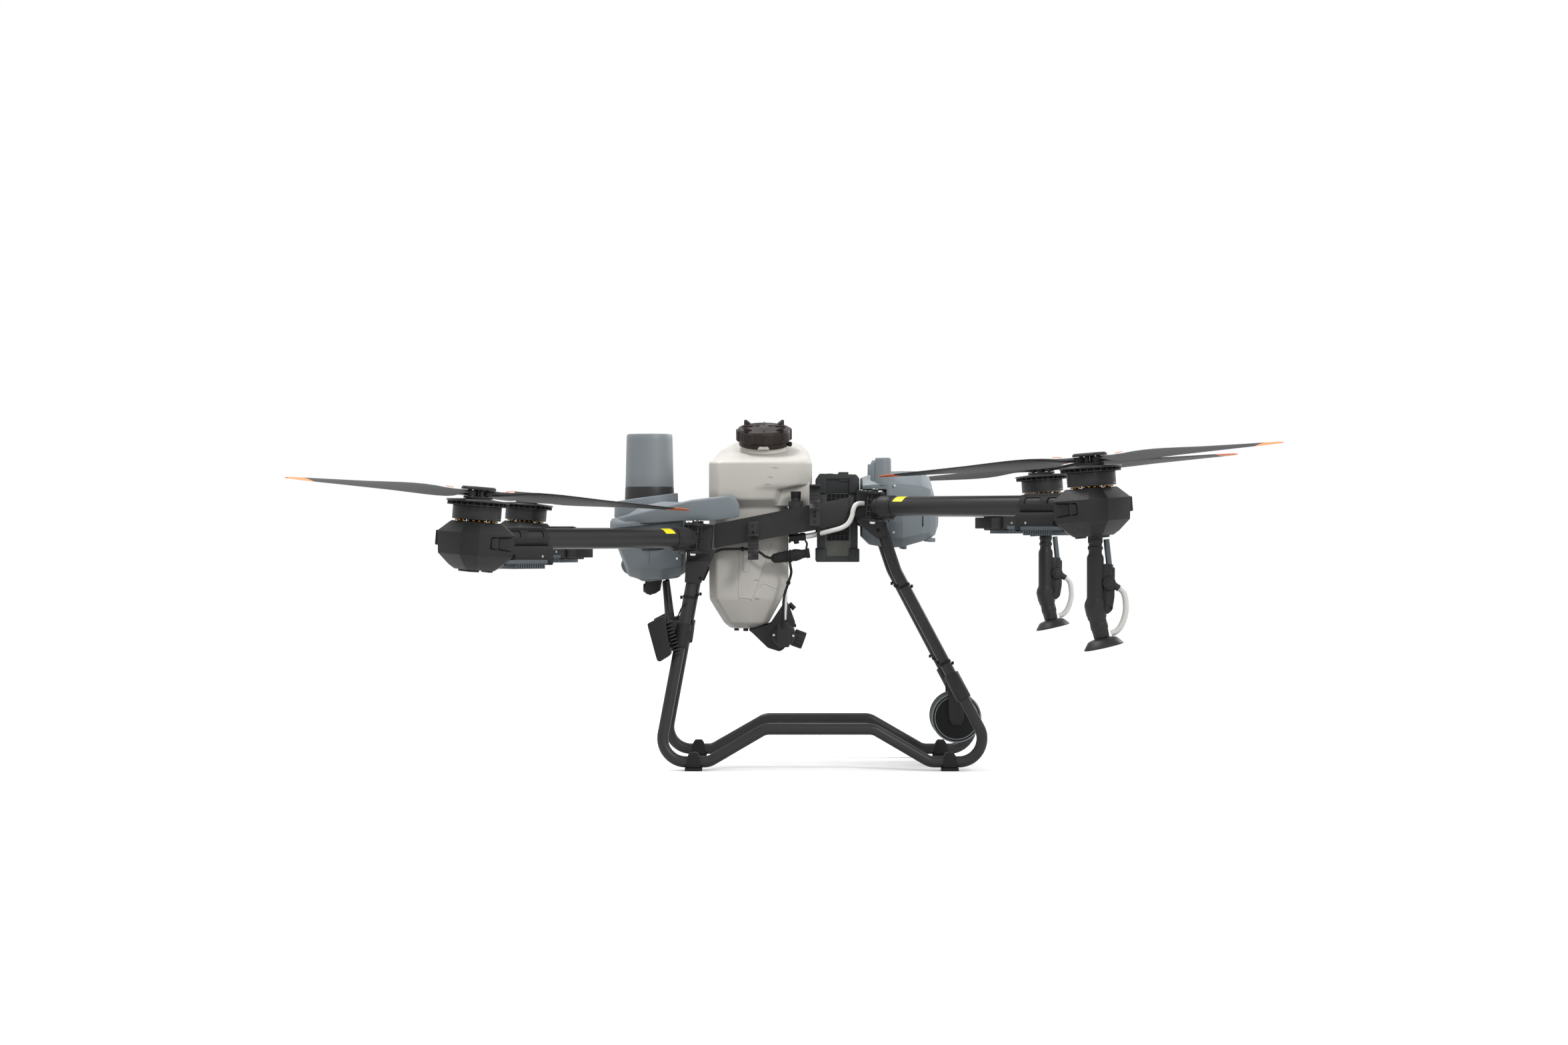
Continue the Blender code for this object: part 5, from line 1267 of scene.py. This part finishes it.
# ---------------------------------------------------------------- sprinklers
def sprinkler_look(side_name):
    """A centrifugal sprinkler with its valve, hose and dish."""
    side = SIDES[side_name]
    body = f"rear_{side_name}_arm"
    y = side * 0.6575
    place = AIRFRAME @ Matrix.Translation((0, y, 0))
    lean = Matrix.Rotation(-NOZZLE_TILT, 4, "Y")
    elbow = Matrix.Translation((0.7085, 0, 0.398))
    upper = turned([(0.018, 0.405), (0.0222, 0.412), (0.0228, 0.418), (0.02, 0.426), (0.0192, 0.43),
        (0.0192, 0.518), (0.018, 0.524), (0.015, 0.529), (0.015, 0.537), (0.0172, 0.5385),
        (0.0172, 0.545), (0.015, 0.5465), (0.015, 0.552), (0.0168, 0.554), (0.0168, 0.568)],
        56).at((0.7075, 0, 0))
    piece = make(f"{side_name}_downpipe", upper, "sprinkler_black", body, place, 0.0004)
    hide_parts(f"{side_name}_sprinkler_body")
    lower = turned([(0.016, 0.03), (0.02, 0.024), (0.0226, 0.017), (0.023, 0.012), (0.023, -0.006),
        (0.0218, -0.0085), (0.0218, -0.015), (0.0195, -0.019), (0.0195, -0.029), (0.02, -0.03),
        (0.02, -0.04), (0.0188, -0.042), (0.018, -0.052), (0.0176, -0.0615)], 56)
    make(f"{side_name}_nozzle_motor", lower.at(lean, elbow), "sprinkler_black", body, place, 0.0004)
    gusset = [(0.7, 0.415), (0.718, 0.49), (0.752, 0.5), (0.751, 0.43), (0.746, 0.4), (0.733, 0.39)]
    make(f"{side_name}_gusset", side_prism(rounded(gusset, 0.006, 3), -0.004, 0.004),
        "sprinkler_black", body, place, 0.001)
    valve = [rod((0.738, -0.0135, 0.463), (0.738, 0.0135, 0.463), 0.015, 28, None, 0.001),
        rod((0.738, -0.016, 0.463), (0.738, 0.016, 0.463), 0.01, 6),
        rod((0.74, 0, 0.463), (0.753, 0, 0.4552), 0.0088, 28),
        rod((0.7515, 0, 0.4562), (0.7618, 0, 0.45), 0.0078, 28, None, 0.0006),
        rod((0.738, 0, 0.478), (0.74, 0, 0.505), 0.0084, 24),
        block((0.724, -0.008, 0.47), (0.736, 0.008, 0.506)),
        block((0.73, -0.006, 0.412), (0.742, 0.006, 0.444))]
    make(f"{side_name}_valve", total(valve), "sprinkler_black", body, place, 0.0005)
    screws = [side_screw(side, x, 0.004, z, 0.0032) for x, z in ((0.722, 0.464), (0.724, 0.447),
        (0.744, 0.406))]
    make(f"{side_name}_gusset_screws", total(screws), "core_black", body, place)
    feed = rod((0.7325, 0, 0.562), (0.7395, 0, 0.498), 0.0068, 28)
    make(f"{side_name}_feed_pipe", feed, "fin_grey", body, place, 0.0004)
    loop = [(0.7636, 0.4487), (0.7678, 0.4458), (0.7725, 0.439), (0.7762, 0.423), (0.777, 0.402),
        (0.7725, 0.38), (0.764, 0.362), (0.754, 0.352), (0.744, 0.348)]
    hose = tube(smooth_route([(x, 0, z) for x, z in loop]), 0.0068, 28)
    piece = make(f"{side_name}_nozzle_hose", hose, "hose_white", body, place)
    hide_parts(f"{side_name}_sprinkler_hose")
    centre = Matrix.Translation((0.7085 + 0.0625 * sin(NOZZLE_TILT), 0,
        0.398 - 0.0625 * cos(NOZZLE_TILT)))
    disc = turned([(0.0195, 0.0), (0.03, -0.0025), (0.034, -0.0045), (0.0455, -0.0185),
        (0.0456, -0.0205), (0.044, -0.0212), (0.04, -0.017), (0.015, -0.015)], 72)
    teeth = around(block((0.04, -0.0005, -0.0205), (0.0447, 0.0005, -0.018)), 40)
    piece = make(f"{side_name}_disc_dish", disc + total(teeth), "sprinkler_black",
        f"{side_name}_disc", place @ centre @ lean, 0.0003)
    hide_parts(f"{side_name}_sprinkler_disc")
    knob = turned([(0.011, -0.014), (0.011, -0.0165), (0.006, -0.0175), (0.006, -0.0235),
        (0.004, -0.0243)], 6)
    prongs = [rod((0.0085 * cos(t), 0.0085 * sin(t), -0.015), (0.0085 * cos(t), 0.0085 * sin(t),
        -0.0225), 0.0016, 10) for t in (0, 2 * pi / 3, 4 * pi / 3)]
    make(f"{side_name}_disc_knob", knob + total(prongs), "latch_steel", f"{side_name}_disc",
        place @ centre @ lean, 0.0003)


# ---------------------------------------------------------------- hoses and cable
DELIVERY = [(0.0535, 0.145, 0.5657), (0.062, 0.1452, 0.5669), (0.074, 0.15, 0.569),
    (0.092, 0.165, 0.574), (0.115, 0.1725, 0.58), (0.14, 0.174, 0.587), (0.156, 0.175, 0.598),
    (0.165, 0.176, 0.615), (0.168, 0.1765, 0.63), (0.1735, 0.175, 0.6415), (0.1825, 0.173, 0.646),
    (0.196, 0.1727, 0.6465)]
PUMP_LEAD = [(-0.17, -0.147, 0.527), (-0.161, -0.147, 0.531), (-0.15, -0.147, 0.534),
    (-0.12, -0.147, 0.5355), (-0.089, -0.1472, 0.535), (-0.062, -0.1475, 0.5285),
    (-0.044, -0.1475, 0.5165), (-0.025, -0.1475, 0.5125), (0.0, -0.1475, 0.514),
    (0.012, -0.1475, 0.508), (0.0155, -0.147, 0.494), (0.0175, -0.145, 0.476),
    (0.009, -0.14, 0.448), (0.0005, -0.135, 0.42), (-0.0016, -0.1305, 0.39),
    (-0.0016, -0.129, 0.3626), (-0.0015, -0.129, 0.345)]


def hose_look(side_name):
    """The delivery hose from the joint under the rail to the arm."""
    side = SIDES[side_name]
    route = [(x, side * y, z) for x, y, z in DELIVERY]
    hose = fixed(f"{side_name}_spray_hose", tube(smooth_route(route), 0.0058, 28), "hose_white")
    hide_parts(f"{side_name}_delivery_hose")
    middle = side * LOCK_Y
    joint = [rod((0.012, middle, 0.5611), (0.052, middle, 0.5655), 0.0084, 32, None, 0.001),
        rod((0.041, middle, 0.5643), (0.053, middle, 0.5657), 0.0092, 32, None, 0.0008),
        rod((0.029, middle, 0.563), (0.031, middle, 0.548), 0.0062, 24, None, 0.0008),
        rod((0.014, middle, 0.559), (0.014, middle, 0.55), 0.0024, 16)]
    fixed(f"{side_name}_hose_joint", total(joint), "core_black")
    clip = block((0.08, side * 0.16 - 0.0085, 0.564), (0.089, side * 0.16 + 0.0085, 0.584))
    fixed(f"{side_name}_hose_clip", clip, "rubber_black", 0.0015)


def lead_look():
    """The pump lead with its plug and ties, and the white riser pipe."""
    lead = fixed("pump_lead", tube(smooth_route(PUMP_LEAD), 0.0032, 20), "rubber_black")
    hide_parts("pump_cable")
    plug = turned([(0.0045, -0.034), (0.011, -0.028), (0.013, -0.012), (0.013, -0.002),
        (0.015, 0.0), (0.015, 0.002), (0.0128, 0.0035), (0.0128, 0.0055), (0.0155, 0.007),
        (0.0155, 0.009), (0.0132, 0.0105), (0.0132, 0.0125), (0.016, 0.014), (0.016, 0.016),
        (0.0136, 0.0175), (0.015, 0.026), (0.0125, 0.038), (0.0105, 0.043), (0.0105, 0.052),
        (0.012, 0.053), (0.012, 0.06), (0.011, 0.0615)], 40)
    direction = Vector((0.103, 0.0, 0.016))
    place = AIRFRAME @ Matrix.Translation((0.002, -0.1475, 0.5165)) @ aim(direction)
    make("lead_plug", plug, "rubber_black", "root", place, 0.0003)
    strap = tube(smooth_route([(0.054, -0.148, 0.536), (0.056, -0.147, 0.548),
        (0.052, -0.145, 0.556)]), 0.0024, 12)
    fixed("lead_strap", strap, "rubber_black")
    riser = smooth_route([(0.002, -0.07, 0.47), (0.003, -0.07, 0.44), (0.003, -0.07, 0.4),
        (0.001, -0.07, 0.36)])
    make("tank_riser", tube(riser, 0.005, 20), "hose_white", "tank", AIRFRAME)
    ties = [rod((-0.105, -0.1471, 0.5354), (-0.098, -0.1472, 0.5352), 0.0055, 16),
        rod((0.012, -0.1415, 0.456), (0.0095, -0.1403, 0.4495), 0.0052, 16)]
    fixed("lead_ties", total(ties), "core_black", 0.0005)


nose_look()
radar_look()
tank_look()
pump_look()
battery_look()
for name in ("front", "rear"):
    frame_look(name)
rear_shell_look()
rear_radar_look()
for name in SIDES:
    rail_look(name)
    gear_look(name)
    spotlight_look(name)
    sprinkler_look(name)
    hose_look(name)
lead_look()


# ---------------------------------------------------------------- studio
FLOOR_REACH, FLOOR_DROP = 60.0, 0.0005
CAMERA_DISTANCE, CAMERA_HEIGHT = 7.587, 0.6
AIM_HEIGHT = 0.5
# below the horizon the sky's light fades from SKY to GROUND, so undersides stay in shade
SKY, GROUND = 1.0, 0.25
FADE_LOW, FADE_HIGH = -0.4, -0.04


def studio():
    """Pale floor, soft light and the camera at the photograph's angle."""
    floor = bpy.data.meshes.new("floor")
    reach = FLOOR_REACH
    floor.from_pydata([(-reach, -reach, 0), (reach, -reach, 0), (reach, reach, 0),
        (-reach, reach, 0)], [], [(0, 1, 2, 3)])
    floor = bpy.data.objects.new("floor", floor)
    floor.location.z = cad_box[0][2] - FLOOR_DROP
    floor.data.materials.append(finish("floor_paper", "#ffffff", 1.0, 0.0, 40, 0.0, 0.0))
    bpy.context.scene.collection.objects.link(floor)
    floor.visible_diffuse = False
    world = bpy.data.worlds.new("studio")
    world.use_nodes = True
    tree = world.node_tree
    tree.nodes["Background"].inputs["Color"].default_value = (1, 1, 1, 1)
    split = tree.nodes.new("ShaderNodeSeparateXYZ")
    fade = tree.nodes.new("ShaderNodeMapRange")
    tree.links.new(tree.nodes.new("ShaderNodeTexCoord").outputs["Generated"], split.inputs[0])
    tree.links.new(split.outputs["Z"], fade.inputs["Value"])
    for socket, value in zip(fade.inputs[1:5], (FADE_LOW, FADE_HIGH, GROUND, SKY)):
        socket.default_value = value
    tree.links.new(fade.outputs["Result"], tree.nodes["Background"].inputs["Strength"])
    bpy.context.scene.world = world
    bpy.context.scene.view_settings.view_transform = "Standard"
    lamps = {"key": ((2.4, -3.6, 3.2), 0.9, 120), "top": ((-1.2, 0.4, 3.6), 1.0, 90),
        "rim": ((3.0, 2.6, 2.2), 1.2, 50),}
    for name, (position, size, power) in lamps.items():
        lamp = bpy.data.lights.new(name, "AREA")
        lamp.size = size
        lamp.energy = power
        lamp = bpy.data.objects.new(name, lamp)
        lamp.location = position
        lamp.rotation_euler = (Vector((AIRFRAME_X, 0,
            AIM_HEIGHT)) - Vector(position)).to_track_quat("-Z", "Y").to_euler()
        bpy.context.scene.collection.objects.link(lamp)
    camera = bpy.data.cameras.new("camera")
    camera.lens = 70.0
    camera.sensor_width = 36.0
    camera = bpy.data.objects.new("camera", camera)
    camera.location = (AIRFRAME_X, -CAMERA_DISTANCE, CAMERA_HEIGHT)
    camera.rotation_euler = (pi / 2, 0, 0)
    bpy.context.scene.collection.objects.link(camera)
    bpy.context.scene.camera = camera


studio()
